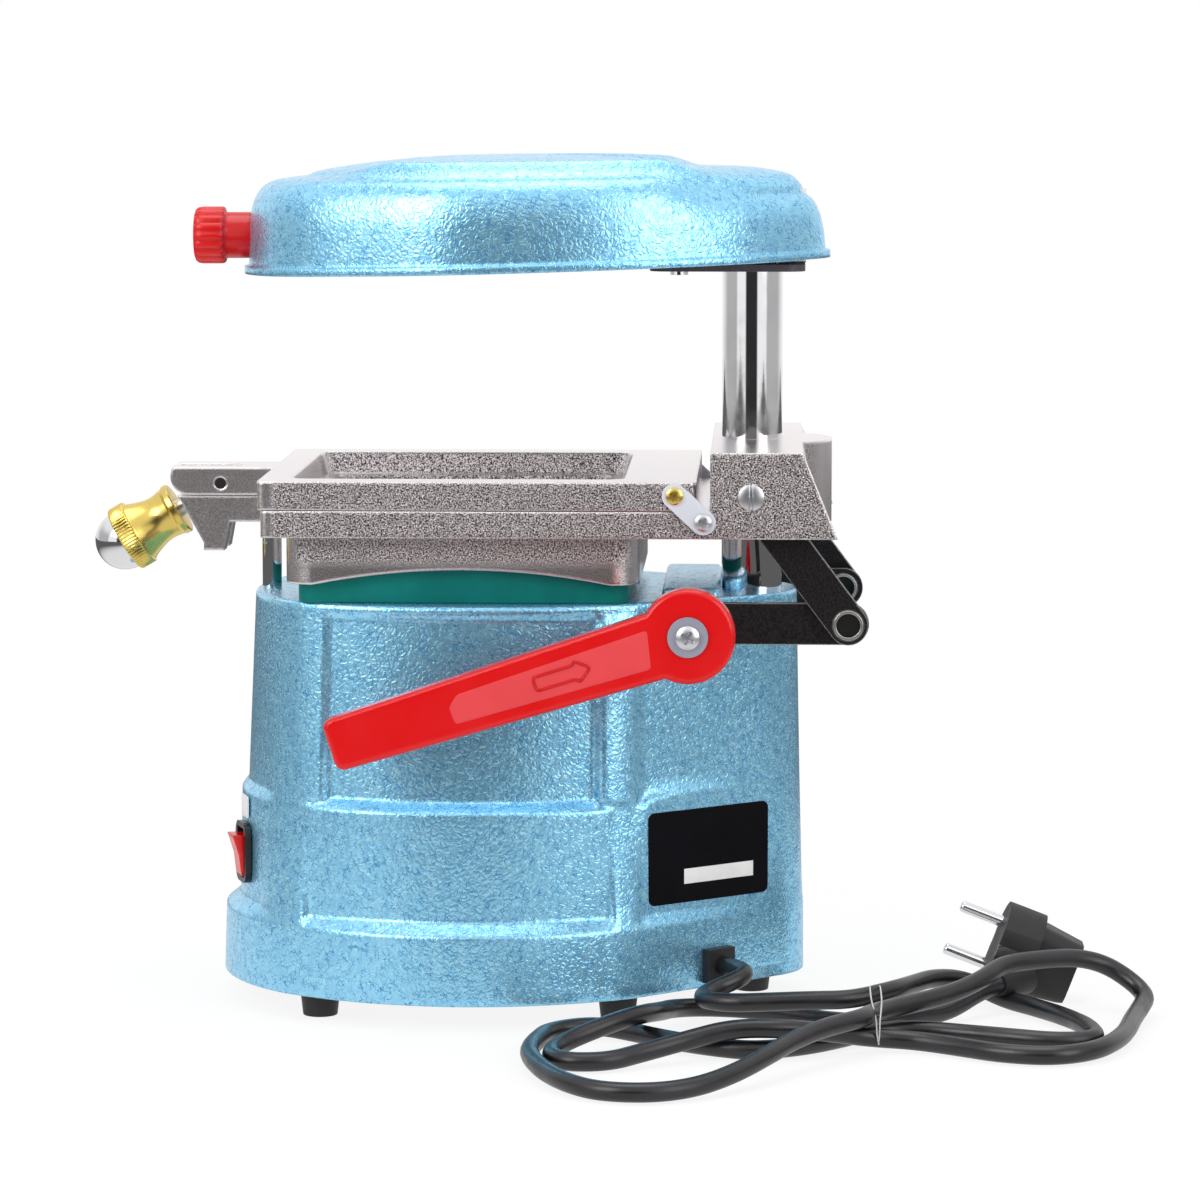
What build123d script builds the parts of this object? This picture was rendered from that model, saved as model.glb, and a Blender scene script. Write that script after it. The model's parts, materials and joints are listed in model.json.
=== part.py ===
"""Dental vacuum former: a heater head that swivels on a chrome column, over a sheet-clamping carriage
that a lever and two crank linkages raise from a vacuum plate on a cast motor housing.

All sizes are millimetres. While the pieces are built, X runs from the clamp (front) to the linkage (rear)
and is measured from the column's axis, Y from the machine's centre plane and Z from the table.
The last section moves every piece so that the origin lies under the middle of the machine.
"""
from build123d import *
import math
import os

os.makedirs("parts", exist_ok=True)

# ------------------------------------------------------------------ driving sizes: cast motor housing
body_bottom = 10.0  # lower edge of the skirt above the table
body_top = 169.4  # machined top face
body_front = 206.0  # front tip of the top face, ahead of the column
body_rear = 19.0  # rear tip of the top face, behind the column
corner_back = 185.5  # where the front curve meets the sides, ahead of the column
corner_half = 62.0
flank_back = 119.0  # widest place of the plan
flank_half = 78.0
hip_back = 45.0  # where the sides turn in towards the column
hip_half_width = 62.5
tail_length = 5.0  # where the tapering sides meet the rear curve, behind the column
tail_half_width = 29.0
skirt_top = 38.0
mid_bottom = 43.0
mid_top = 87.0
upper_bottom = 93.0
upper_flare = (3.5, 5.0)  # how far (front, sides) each tier stands out from the top face
mid_flare = (6.5, 11.0)
mid_foot_flare = (7.5, 12.0)
skirt_rim_flare = (13.5, 18.0)
skirt_flare = (14.5, 19.0)
corner_share = 0.42  # share of the side flare at the corner, the hip and the tail
hip_share = 0.6
tail_share = 0.18
body_wall = 3.5
top_wall = 6.0
panel_depth = 1.8  # sunk panels in the sides
panel_front = 172.0
panel_rear = 60.0
panel_margin = 5.0
cover_thickness = 2.0
cover_gap = 0.4
cover_bottom = 12.0

# ------------------------------------------------------------------ driving sizes: feet
foot_top_radius = 8.4
foot_tip_radius = 7.0
foot_screw_radius = 2.0
foot_screw_head_radius = 3.6
foot_screw_head = 2.4
foot_recess_radius = 4.4
foot_recess = 5.0
foot_boss_radius = 6.5
foot_boss_top = 44.0
foot_screw_top = 26.0
front_foot = (-175.0, 61.0)
middle_foot = (-53.5, 63.5)
rear_foot_x = 0.5
rear_rib_top = 60.0
rib_thickness = 4.0

# ------------------------------------------------------------------ driving sizes: column and front rod
column_radius = 12.5
column_bore = 9.5
column_foot = 108.0
column_top = 330.0
column_boss_radius = 16.4
column_tail = 4.0  # column left standing out below its nut
nut_radius = 15.6
nut_height = 7.0
fit_gap = 0.05  # radial play of fixed fits
running_gap = 0.05  # radial play of turning and sliding fits
rod_radius = 4.0
rod_x = -199.7
rod_foot = 78.0
rod_socket = 8.0
rod_boss_radius = 7.5
rod_boss_bottom = 122.0

# ------------------------------------------------------------------ driving sizes: lift linkage
shaft_x = -24.5
shaft_z = 162.0
shaft_radius = 6.3
crank_length = 63.5
link_length = 65.0
crank_width = 16.8
link_width = 16.0
plate_thickness = 4.0
crank_inner = 66.0  # inner face of each crank, from the centre plane
plate_gap = 1.0
crank_pin_radius = 6.0
crank_pin_bore = 4.8
crank_pin_rim = 0.6
link_top_hole = 3.2
ear_half_length = 11.7
ear_inner = 33.0
ear_outer = 50.0
ear_rise = 12.0  # top of the shaft's bridge above the shaft
ear_drop = 13.0
bush_wall = 2.1
bush_flange_radius = 11.0
bush_flange = 1.6
spot_face_radius = 12.5
tunnel_gap = 1.3
lever_hub_radius = 18.7
lever_inner = 106.0
lever_thickness = 11.0
lever_length = 148.0
lever_droop = 17.4  # degrees below the horizontal
lever_root_width = 27.0
lever_tip_width = 21.0
lever_tip_fillet = 4.0
lever_edge = 1.2
lever_socket = 8.0
washer_radius = 8.0
washer_thickness = 1.2
lever_screw_radius = 2.0
lever_screw_head_radius = 4.7
lever_screw_head = 2.6
lever_screw_length = 12.0

# ------------------------------------------------------------------ driving sizes: carriage and frames
link_clearance = 3.0  # between each link and the carriage's cheek
frame_front = -197.3
frame_back = -21.9
lower_front = -196.0
lower_bottom = 197.2
lower_top = 208.0
frame_gap = 0.35
upper_thickness = 11.4
frame_corner = 2.5
opening_length = 134.3
opening_half = 67.0
opening_x = -118.05
opening_corner = 7.0
lip_side = 118.0  # square opening of the clamping lips
lip_corner = 9.0
upper_lip = 2.5
upper_lip_ledge = 4.0  # how much narrower the funnel is at the lip
lower_lip = 4.0
shroud_bottom = 177.4
shroud_front = -187.6
shroud_back = -44.7
shroud_half = 72.0
shroud_wall = 2.8
shroud_corner = 12.0
arch_length = 120.0
arch_rise = 6.0
carriage_front = -16.3
carriage_back_top = 20.6
carriage_back = 34.5
carriage_top = 231.7
carriage_wall = 4.5
carriage_front_wall = 4.0
carriage_roof = 2.9
hub_radius = 33.0
hub_wall = 3.5
hub_core_radius = 20.0
bush_outer = 15.0
bush_length = 12.0
pivot_screw_radius = 3.0
pivot_head_radius = 5.3
pivot_head = 1.8
pivot_slot = 1.2
side_link_pin = (-19.0, 204.0)
side_link_screw = (-30.5, 214.6)
side_link_radius = 5.0
side_link_thickness = 1.8
side_gap = 0.4
small_screw_radius = 1.6
small_head_radius = 3.4
small_head = 1.6
small_screw_depth = 7.0

# ------------------------------------------------------------------ driving sizes: front clamp
clamp_pin = (-219.4, 213.2)
clamp_pin_radius = 2.3
lug_half = 15.0
lower_lug_half = 14.0
nose_radius = 20.9
nose_fillet = 7.5
slot_half = 4.6
slot_back = -211.0
bolt_angle = 31.0  # degrees below the horizontal
lug_face_angle = 29.0
lug_face = 18.2  # distance of the lower lug's slanted face from the pin
lug_tab_bottom = 185.3
lug_tab_front = -226.5
lug_tab_back = -218.0
lug_tab_root = -215.8
bolt_radius = 3.92
bolt_eye_radius = 5.6
bolt_eye_half = 4.2
bolt_end = 50.0
nut_face = 22.0  # distance of the clamp nut's inner face from the pin
nut_bore_radius = 4.0
nut_collar_radius = 11.1
nut_collar = 3.0
nut_waist_radius = 9.7
nut_waist = 9.0
nut_flare_radius = 12.8
nut_flare = 19.7
knurl_radius = 14.1
knurl_end = 26.7
dome_radius = 12.3

# ------------------------------------------------------------------ driving sizes: vacuum table and motor
pad_gap = 2.0
pad_height = 24.0
pad_corner = 8.0
cup_radius = 45.0
cup_wall = 3.0
cup_floor = 4.0
stem_radius = 9.0
stem_bore = 6.0
stem_bottom = 150.0
plate_radius = 56.0
plate_height = 6.0
plate_hole_radius = 1.2
plate_ring_step = 8.5
plate_rings = 5
motor_bottom = 28.0
motor_radius = 38.0
motor_top = 80.0
fan_case_radius = 52.0
fan_case_top = 110.0
motor_wall = 3.0
inlet_top = 128.0
impeller_gap = 4.0
impeller_bottom = 86.0
impeller_height = 17.0
impeller_plate = 2.0
impeller_hub_radius = 9.0
impeller_blades = 8
blade_thickness = 1.6
motor_shaft_radius = 4.0
motor_shaft_bottom = 36.0
mount_radius = 8.0
mount_circle = 28.0
mount_count = 3
hose_wall = 3.0
hose_bottom = 114.0
hose_top = 158.0
outlet_radius = 12.0
outlet_height = 95.0
outlet_length = 16.0
port_length = 24.0
port_shift = 2.0

# ------------------------------------------------------------ driving sizes: switches, plates and gland
switch_y = 30.0
switch_z = 62.0
bezel_width = 20.0
bezel_height = 25.0
bezel_corner = 6.0
bezel_proud = 2.4
switch_depth = 18.0
switch_body_width = 16.0
switch_body_height = 22.0
rocker_width = 11.6
rocker_half = 8.8
rocker_proud = 5.0
rocker_centre_proud = 4.2
rocker_back = 4.0
rocker_gap = 0.5
rocker_sweep = 12.0  # degrees either side of the middle
rocker_axle_radius = 1.5
rocker_axle_reach = 1.2
rocker_well = 10.5
label_width = 12.0
label_height = 9.0
label_z = 81.0
label_thickness = 0.5
plate_width = 62.0
rating_height = 38.0
rating_z = 65.0
rating_x = -17.0
rating_corner = 3.0
rating_thickness = 1.0
rating_sink = 0.6
gland_x = -14.0
gland_width = 14.4
gland_height = 14.0
gland_z = 19.0
gland_proud = 4.0
gland_depth = 12.0
terminal_size = (34.0, 16.0, 14.0)
terminal_x = -52.0
terminal_ways = 3

# ------------------------------------------------------------------ driving sizes: heater head
head_tilt = 1.7  # degrees, nose down
head_seat = 24.5  # rim of the shell below the column's top
head_front = 210.0
head_rear = 32.0
head_half = 82.0
head_lip_height = 3.3
head_lip_proud = 1.6
head_wall = 3.0
head_crown_lean = 1.1  # degrees, nose up against the rim
head_profile = (
    (3.3, 1.6, 1.6),
    (25.0, 4.0, 4.0),
    (31.5, 8.5, 8.0),
    (35.0, 15.0, 12.5),
    (38.0, 28.0, 21.0),
    (41.0, 47.0, 33.0),
    (43.4, 70.0, 47.0),
    (45.0, 93.0, 60.0),
)  # height above the rim, inset along, inset across
bracket_front = -42.0
bracket_rear = 21.6
bracket_half = 26.0
bracket_hang = 4.3  # underside of the bracket below the rim
bracket_thickness = 3.0
bracket_corner = 8.0
collar_radius = 22.0
collar_roof = 4.0
stop_gap = 0.35
head_screw = (-30.0, 17.0)
head_screw_radius = 2.0
head_screw_head_radius = 3.8
head_screw_head = 1.6
head_boss_radius = 5.0
grip_rise = 9.5  # axis of the grip above the rim
grip_cap_radius = 11.8
grip_cap = 12.8
grip_neck_radius = 9.5
grip_tip = -230.6
grip_neck_end = -208.0
grip_ribs = 18
grip_rib_radius = 1.1
heater_x = -113.0
reflector_radius = 66.0
reflector_rim = 4.0
reflector_height = 16.0
reflector_thickness = 1.2
ceramic_radius = 50.0
ceramic_thickness = 7.0
coil_wire = 1.6
coil_turns = 4
coil_step = 10.0
coil_first = 15.0
heater_bolt_radius = 2.5
heater_nut_radius = 4.5
heater_nut = 3.5
heater_clear = 4.0

# ------------------------------------------------------------------ driving sizes: cord
cord_diameter = 7.6
lead_start = 13.0  # length of the first run, square to the gland
lead_points = [
    (-2.2, -68.5, 18.0),
    (-14.5, -74.5, 14.0),
    (-20.5, -85.5, 12.2),
]  # free points of the lead between the first run and the hank
tie_x = 50.0
tie_wire = 1.2
tie_far = -83.2
tie_near = -134.2
tie_top = 20.4
hank_height = 16.4
waist_half = 14.0  # half length of the tied waist
waist_height = 19.0
waist_gap = 0.4
hank_lean_height = 27.2
hank_outline = [
    (-88.7, -150),
    (-86, -123),
    (-70, -104.5),
    (-48, -103),
    (-36, -84),
    (-14, -62.5),
    (6, -64.5),
    (34, -83),
    (50, -85.5),
    (64, -59.5),
    (78, -39),
    (93, -33),
    (114, -45),
    (134, -38),
    (150, -35.2),
    (163, -45),
    (163, -64),
    (154, -104),
    (140, -142),
    (114, -157),
    (84, -144),
    (66, -132.4),
    (50, -132.3),
    (34, -150),
    (16, -180),
    (-6, -211),
    (-40, -230.2),
    (-66, -220),
    (-82, -190),
]  # the hank's outline on the table, round both of its lobes
lean_outline = [
    (88, -78),
    (98, -64),
    (112, -50),
    (128, -40),
    (144, -34.8),
    (158, -37.5),
    (162, -52),
    (150, -50),
    (138, -48),
    (108, -69),
    (98, -85),
    (84, -98),
]
plug_centre = (101.5, -17.0, 23.1)
plug_tilt = 21.0  # degrees, pins upwards
plug_radius = 18.5
plug_front = 16.0
plug_hood = 18.0
hood_root_width = 30.0
hood_root_height = 28.0
hood_corner = 6.0
hood_width = 26.0
hood_height = 22.0
flat_half = 16.0
plug_pin_radius = 2.4
plug_pin_length = 19.0
plug_pin_spacing = 19.0
plug_pin_seat = 6.0
earth_width = 5.0
earth_length = 14.0
earth_thickness = 0.8
relief_root = (113.0, -33.0, 11.6)
relief_tip = (101.5, -47.0, 11.4)
relief_root_radius = 6.6
relief_tip_radius = 4.6

# ------------------------------------------------------------------ sizes that follow
upper_bottom_z = lower_top + frame_gap
upper_top_z = upper_bottom_z + upper_thickness
link_inner = crank_inner + plate_thickness + plate_gap
link_outer = link_inner + plate_thickness
frame_half = link_outer + link_clearance + carriage_wall  # half width of both frames and of the carriage
column_boss_bottom = column_foot + column_tail + nut_height
head_base = column_top - head_seat
bracket_bottom = head_base - bracket_hang
grip_z = head_base + grip_rise
crank_end_x = shaft_x + crank_length
pivot_z = shaft_z + math.sqrt(link_length**2 - crank_end_x**2)
front_reach = -(clamp_pin[0] - (nut_face + knurl_end) * math.cos(math.radians(bolt_angle)) - dome_radius)
rear_reach = crank_end_x + crank_width / 2
near_reach = lever_inner + lever_thickness + washer_thickness + lever_screw_head
far_reach = flank_half + skirt_flare[1]
origin_shift = Location(((front_reach - rear_reach) / 2, (near_reach - far_reach) / 2, 0))
impeller_radius = fan_case_radius - motor_wall - impeller_gap
far_cut = 400.0  # longer than any piece, for cutting tools
overcut = 1.0  # how far a cut, or the foot of a joined rod, runs past its face
screw_into_shell = 14.0  # depth of the head screws' holes above the bracket
screw_reach = 12.0  # length of their shanks
bracket_cut = 2.0  # room round the bracket in the shell
heater_bolt_room = 10.0
grip_stud = 20.0
grip_stud_hole = 30.0


# ------------------------------------------------------------------ helpers
def block(x0, x1, y0, y1, z0, z1):
    """A box between two corners."""
    centre = Pos((x0 + x1) / 2, (y0 + y1) / 2, (z0 + z1) / 2)
    return centre * Box(x1 - x0, y1 - y0, z1 - z0)


def rod_up(radius, x, y, z0, z1):
    """A cylinder along Z."""
    return Pos(x, y, (z0 + z1) / 2) * Cylinder(radius, z1 - z0)


def rod_across(radius, x, z, y0, y1):
    """A cylinder along Y."""
    return Pos(x, (y0 + y1) / 2, z) * Rot(90, 0, 0) * Cylinder(radius, abs(y1 - y0))


def rounded_block(x0, x1, half, z0, z1, corner):
    """A block with rounded upright edges, centred on the centre plane."""
    plan = Pos((x0 + x1) / 2, 0, z0) * RectangleRounded(x1 - x0, 2 * half, corner)
    return extrude(plan, z1 - z0)


def side_profile(points, y0, y1):
    """A closed outline of (x, z) points, as a slab from y0 to y1."""
    corners = [Vector(x, y1, z) for x, z in points]
    face = make_face(Polyline(*corners, close=True))
    return extrude(face, abs(y1 - y0), dir=(0, -1, 0))


def both_sides(shape):
    """The shape and its mirror image in the centre plane."""
    return [shape, mirror(shape, about=Plane.XZ)]


def export(node, *shapes):
    """Writes one node's STEP file, with the origin under the middle of the machine."""
    solids = []
    for shape in shapes:
        solids.extend(shape.solids())
    whole = Compound(children=[solid.moved(origin_shift) for solid in solids])
    export_step(whole, f"parts/{node}.step")


# ------------------------------------------------------------------ cast motor housing
def body_plan(z, flare, inset=0.0):
    """The housing's plan at height z: front curve, two bulging sides, two tapering sides, rear curve."""
    front, side = flare
    tip = -(body_front + front - inset)
    corner_x = -(corner_back + side / 10 - inset)
    corner_y = corner_half + corner_share * side - inset
    flank_y = flank_half + side - inset
    hip_y = hip_half_width + hip_share * side - inset * 1.15
    tail_x = tail_length + tail_share * side - inset / 2
    tail_y = tail_half_width - tail_share * side - inset * 0.9
    rear = body_rear + tail_share * side - inset
    front_arc = ThreePointArc((corner_x, -corner_y), (tip, 0), (corner_x, corner_y))
    flank_far = ThreePointArc((corner_x, corner_y), (-flank_back, flank_y), (-hip_back, hip_y))
    taper_far = Line((-hip_back, hip_y), (tail_x, tail_y))
    rear_arc = ThreePointArc((tail_x, tail_y), (rear, 0), (tail_x, -tail_y))
    taper_near = Line((tail_x, -tail_y), (-hip_back, -hip_y))
    flank_near = ThreePointArc((-hip_back, -hip_y), (-flank_back, -flank_y), (corner_x, -corner_y))
    outline = Wire([front_arc, flank_far, taper_far, rear_arc, taper_near, flank_near])
    return Pos(0, 0, z) * make_face(outline)


def body_tiers(inset, bottom, top):
    """The three tiers of the housing as one solid, inset by a wall."""
    drop = inset
    levels = [
        (bottom, skirt_flare),
        (skirt_top - drop, skirt_rim_flare),
        (mid_bottom - drop, mid_foot_flare),
        (mid_top - drop, mid_flare),
        (upper_bottom - drop, upper_flare),
        (top, (0.0, 0.0)),
    ]
    return loft([body_plan(z, flare, inset) for z, flare in levels], ruled=True)


def side_at(x, side):
    """Unit normal of the tapering near side at x, and the half width there, for a tier that flares by side."""
    run = tail_length + tail_share * side + hip_back
    fall = hip_half_width + hip_share * side - tail_half_width + tail_share * side
    length = math.hypot(run, fall)
    half = hip_half_width + hip_share * side - fall * (x + hip_back) / run
    return Vector(fall / length, -run / length, 0), half


def panel_cuts():
    """Shallow sunk panels in both sides, one in the middle tier and one in the upper tier."""
    skin = body_tiers(
        -panel_depth, body_bottom - overcut, body_top + 1
    ) - body_tiers(panel_depth, body_bottom - overcut, body_top + overcut)
    slabs = []
    for low, high in ((mid_bottom, mid_top), (upper_bottom, body_top - panel_margin)):
        slabs.append(
            block(
                -panel_front,
                -panel_rear,
                -far_cut,
                far_cut,
                low + panel_margin / 2,
                high - panel_margin / 2,
            ),
        )
    return [skin & slab for slab in slabs]


def switch_frame(side):
    """Location of a switch on the front curve: X outwards from the panel, Z up."""
    tip = body_front + mid_flare[0] / 2 + mid_foot_flare[0] / 2
    corner_x = corner_back + mid_flare[1] / 10
    corner_y = corner_half + corner_share * mid_flare[1]
    sagitta = tip - corner_x
    radius = (sagitta**2 + corner_y**2) / (2 * sagitta)
    turn = math.asin(switch_y / radius)
    x = -(tip - radius + radius * math.cos(turn))
    spin = 180 + side * math.degrees(turn) * -1
    return Location((x, side * switch_y, switch_z), (0, 0, spin))


def gland_frame():
    """Location of the cord gland on the near side of the skirt: X outwards."""
    normal, half = side_at(gland_x, skirt_flare[1])
    spin = math.degrees(math.atan2(normal.Y, normal.X))
    return Location((gland_x, -half, gland_z), (0, 0, spin))


def plate_frame():
    """Location of the rating plate on the near side of the middle tier: X outwards."""
    normal, half = side_at(rating_x, (mid_flare[1] + mid_foot_flare[1]) / 2)
    spin = math.degrees(math.atan2(normal.Y, normal.X))
    return Location((rating_x, -half, rating_z), (0, 0, spin)) * Pos(-rating_sink, 0, 0)


def plate_outline(gap):
    """The rating plate's outline, grown by a gap."""
    return RectangleRounded(plate_width + 2 * gap, rating_height + 2 * gap, rating_corner)


foot_places = [
    front_foot,
    (front_foot[0], -front_foot[1]),
    middle_foot,
    (middle_foot[0], -middle_foot[1]),
    (rear_foot_x, 0.0),
]


def base_housing():
    """The cast housing: tiers, shaft bridge, bosses, bores and cut-outs."""
    outer = body_tiers(0.0, body_bottom, body_top)
    inner = body_tiers(body_wall, body_bottom - overcut, body_top - top_wall)
    shell = outer - inner
    bosses = [rod_up(column_boss_radius, 0, 0, column_boss_bottom, body_top - overcut)]
    bosses.append(rod_up(rod_boss_radius, rod_x, 0, rod_boss_bottom, body_top - overcut))
    for x, y in foot_places:
        bosses.append(rod_up(foot_boss_radius, x, y, cover_bottom + cover_thickness, foot_boss_top))
    rib_half = rib_thickness / 2
    for x, y in foot_places[:-1]:
        ends = sorted((y, y * 2))
        bosses.append(
            block(x - rib_half, x + rib_half, *ends, cover_bottom + cover_thickness, foot_boss_top)
        )
    bosses.append(
        block(rear_foot_x, body_rear, -rib_half, rib_half, cover_bottom + cover_thickness, rear_rib_top)
    )
    for boss in bosses:
        shell = shell + (boss & outer)
    ear_front = shaft_x - ear_half_length
    ear_back = shaft_x + ear_half_length
    shell = shell + block(
        ear_front, ear_back, -ear_outer, ear_outer, shaft_z - ear_drop, shaft_z + ear_rise
    )
    bush_radius = shaft_radius + running_gap + bush_wall + fit_gap
    cuts = [
        rod_across(
            shaft_radius + tunnel_gap, shaft_x, shaft_z, -ear_inner - overcut, ear_inner + overcut
        ),
    ]
    cuts += both_sides(rod_across(bush_radius, shaft_x, shaft_z, -ear_outer - overcut, -ear_inner))
    cuts += both_sides(rod_across(spot_face_radius, shaft_x, shaft_z, -far_cut, -ear_outer))
    cuts.append(rod_up(column_radius + fit_gap, 0, 0, column_boss_bottom - overcut, body_top + ear_rise))
    cuts.append(
        rod_up(rod_radius + running_gap, rod_x, 0, rod_boss_bottom - overcut, body_top + overcut)
    )
    cuts.append(
        rod_up(stem_radius + fit_gap, opening_x, 0, body_top - top_wall - overcut, body_top + overcut)
    )
    for x, y in foot_places:
        cuts.append(rod_up(foot_screw_radius + fit_gap, x, y, cover_bottom, foot_screw_top + overcut))
    for side in (-1, 1):
        pocket = Box(switch_depth * 2, switch_body_width + 2 * fit_gap, switch_body_height + 2 * fit_gap)
        cuts.append(switch_frame(side) * pocket)
        seat = Plane.YZ * RectangleRounded(bezel_width, bezel_height, bezel_corner)
        cuts.append(switch_frame(side) * extrude(seat, bezel_proud))
    cuts.append(gland_frame() * Box(gland_depth * 2, gland_width, gland_height))
    cuts.append(plate_frame() * extrude(Plane.YZ * plate_outline(fit_gap), far_cut / 2))
    cuts += panel_cuts()
    for cut in cuts:
        shell = shell - cut
    return shell


def bottom_cover():
    """The steel plate that closes the housing from below, with cooling slots."""
    plan = body_plan(cover_bottom, skirt_flare, body_wall + cover_gap)
    plate = extrude(plan, cover_thickness)
    for x, y in foot_places:
        plate = plate - rod_up(
            foot_screw_radius + fit_gap, x, y, cover_bottom - overcut, cover_bottom + 4
        )
    gland_room = gland_frame() * Box(gland_depth * 2 + overcut, gland_width + 2, gland_height + 2)
    plate = plate - gland_room
    slot_count = 5
    slot_step = 12.0
    for i in range(slot_count):
        x = opening_x + (i - (slot_count - overcut) / 2) * slot_step
        slot = Pos(x, 0, cover_bottom) * SlotOverall(2 * motor_radius, slot_step / 3, rotation=90)
        plate = plate - extrude(slot, cover_thickness * 3, both=True)
    return plate


def feet():
    """Five tapered rubber feet, each with a recess for its screw."""
    result = []
    for x, y in foot_places:
        foot = Pos(x, y, cover_bottom / 2) * Cone(foot_tip_radius, foot_top_radius, cover_bottom)
        foot = foot - rod_up(foot_recess_radius, x, y, -1, foot_recess)
        foot = foot - rod_up(foot_screw_radius + fit_gap, x, y, 0, cover_bottom + overcut)
        result.append(foot)
    return result


def foot_screws():
    """The screws that hold the feet and the cover to the housing's bosses."""
    result = []
    for x, y in foot_places:
        head = rod_up(foot_screw_head_radius, x, y, foot_recess - foot_screw_head, foot_recess)
        result.append(head + rod_up(foot_screw_radius, x, y, foot_recess - overcut, foot_screw_top))
    return result


export("base_housing", base_housing())
export("bottom_cover", bottom_cover())
export("feet", *feet())
export("foot_screws", *foot_screws())


# ------------------------------------------------------------------ column
def guide_column():
    """The chrome tube that the carriage slides on and the head turns on."""
    tube = rod_up(column_radius, 0, 0, column_foot, column_top)
    return tube - rod_up(column_bore, 0, 0, column_foot - overcut, column_top + overcut)


def column_nut():
    """The ring nut that clamps the column under its boss."""
    ring = rod_up(nut_radius, 0, 0, column_boss_bottom - nut_height, column_boss_bottom)
    return ring - rod_up(column_radius + fit_gap, 0, 0, column_foot, column_boss_bottom + overcut)


export("guide_column", guide_column())
export("column_nut", column_nut())


# ------------------------------------------------------------------ vacuum table
pad_front = shroud_front + shroud_wall + pad_gap
pad_back = shroud_back - shroud_wall - pad_gap
pad_half = shroud_half - shroud_wall - pad_gap
pad_top = body_top + pad_height


def seal_pad():
    """The green silicone block that the carriage's shroud closes round."""
    pad = rounded_block(pad_front, pad_back, pad_half, body_top, pad_top, pad_corner)
    return pad - rod_up(cup_radius + fit_gap, opening_x, 0, body_top - overcut, pad_top + overcut)


def vacuum_cup():
    """The suction chamber under the plate, with its stem through the housing's top."""
    cup = rod_up(cup_radius, opening_x, 0, body_top, pad_top)
    cup = cup - rod_up(cup_radius - cup_wall, opening_x, 0, body_top + cup_floor, pad_top + overcut)
    cup = cup + rod_up(stem_radius, opening_x, 0, stem_bottom, body_top + overcut)
    return cup - rod_up(stem_bore, opening_x, 0, stem_bottom - overcut, pad_top)


def vacuum_plate():
    """The perforated round plate that the model stands on."""
    disc = rod_up(plate_radius, opening_x, 0, pad_top, pad_top + plate_height)
    disc = chamfer(disc.edges().group_by(Axis.Z)[-1], 0.8)
    for ring in range(1, plate_rings):
        count = 6 * ring
        with_radius = ring * plate_ring_step
        holes = PolarLocations(with_radius, count)
        tool = Pos(
            opening_x, 0, pad_top + plate_height / 2
        ) * holes * Cylinder(plate_hole_radius, plate_height * 2)
        disc = disc - tool
    return disc


export("seal_pad", seal_pad())
export("vacuum_cup", vacuum_cup())
export("vacuum_plate", vacuum_plate())


# ------------------------------------------------------------------ vacuum motor
def vacuum_motor():
    """The motor can with the fan case above it, hollow, with an inlet on top and an outlet at the side."""
    can = rod_up(motor_radius, opening_x, 0, motor_bottom, motor_top + overcut)
    case = rod_up(fan_case_radius, opening_x, 0, motor_top, fan_case_top)
    inlet = rod_up(stem_radius, opening_x, 0, fan_case_top - overcut, inlet_top)
    outlet_place = Pos(opening_x, fan_case_radius, outlet_height) * Rot(90, 0, 0)
    outlet = outlet_place * Cylinder(outlet_radius, outlet_length)
    whole = can + case + inlet + (outlet & block(-far_cut, far_cut, 0, far_cut, 0, far_cut))
    whole = whole - rod_up(
        motor_radius - motor_wall, opening_x, 0, motor_bottom + motor_wall, motor_top - motor_wall
    )
    whole = whole - rod_up(
        fan_case_radius - motor_wall, opening_x, 0, motor_top + motor_wall, fan_case_top - motor_wall
    )
    whole = whole - rod_up(
        stem_bore, opening_x, 0, fan_case_top - motor_wall - overcut, inlet_top + overcut
    )
    whole = whole - rod_up(
        motor_shaft_radius + running_gap,
        opening_x,
        0,
        motor_top - motor_wall - overcut,
        motor_top + motor_wall + overcut,
    )
    port_place = Pos(opening_x, fan_case_radius + port_shift, outlet_height) * Rot(90, 0, 0)
    port = port_place * Cylinder(outlet_radius - motor_wall, port_length)
    return whole - port


def motor_rotor():
    """The motor's shaft with its armature."""
    shaft = rod_up(
        motor_shaft_radius, opening_x, 0, motor_shaft_bottom, impeller_bottom + impeller_height
    )
    armature = rod_up(
        motor_radius / 2, opening_x, 0, motor_bottom + 4 * motor_wall, motor_top - 4 * motor_wall
    )
    return shaft + armature


def fan_impeller():
    """The suction fan: two plates, a hub and straight blades."""
    top = impeller_bottom + impeller_height
    lower = rod_up(impeller_radius, opening_x, 0, impeller_bottom, impeller_bottom + impeller_plate)
    upper = rod_up(impeller_radius, opening_x, 0, top - impeller_plate, top)
    upper = upper - rod_up(stem_radius * 1.5, opening_x, 0, impeller_bottom, top + overcut)
    hub = rod_up(impeller_hub_radius, opening_x, 0, impeller_bottom, top)
    wheel = lower + hub
    for i in range(impeller_blades):
        reach = impeller_radius - impeller_hub_radius
        blade = Pos(impeller_hub_radius + reach / 2 - overcut, 0, 0) * Box(
            reach, blade_thickness, impeller_height - impeller_plate
        )
        place = Pos(
            opening_x, 0, impeller_bottom + impeller_height / 2
        ) * Rot(0, 0, i * 360 / impeller_blades)
        wheel = wheel + place * blade
    wheel = wheel + upper
    return wheel - rod_up(
        motor_shaft_radius + fit_gap, opening_x, 0, impeller_bottom - overcut, top + overcut
    )


def motor_mounts():
    """Rubber buffers between the cover and the motor."""
    result = []
    for i in range(mount_count):
        angle = 2 * math.pi * i / mount_count
        x = opening_x + mount_circle * math.cos(angle)
        result.append(
            rod_up(
                mount_radius,
                x,
                mount_circle * math.sin(angle),
                cover_bottom + cover_thickness,
                motor_bottom,
            ),
        )
    return result


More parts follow.
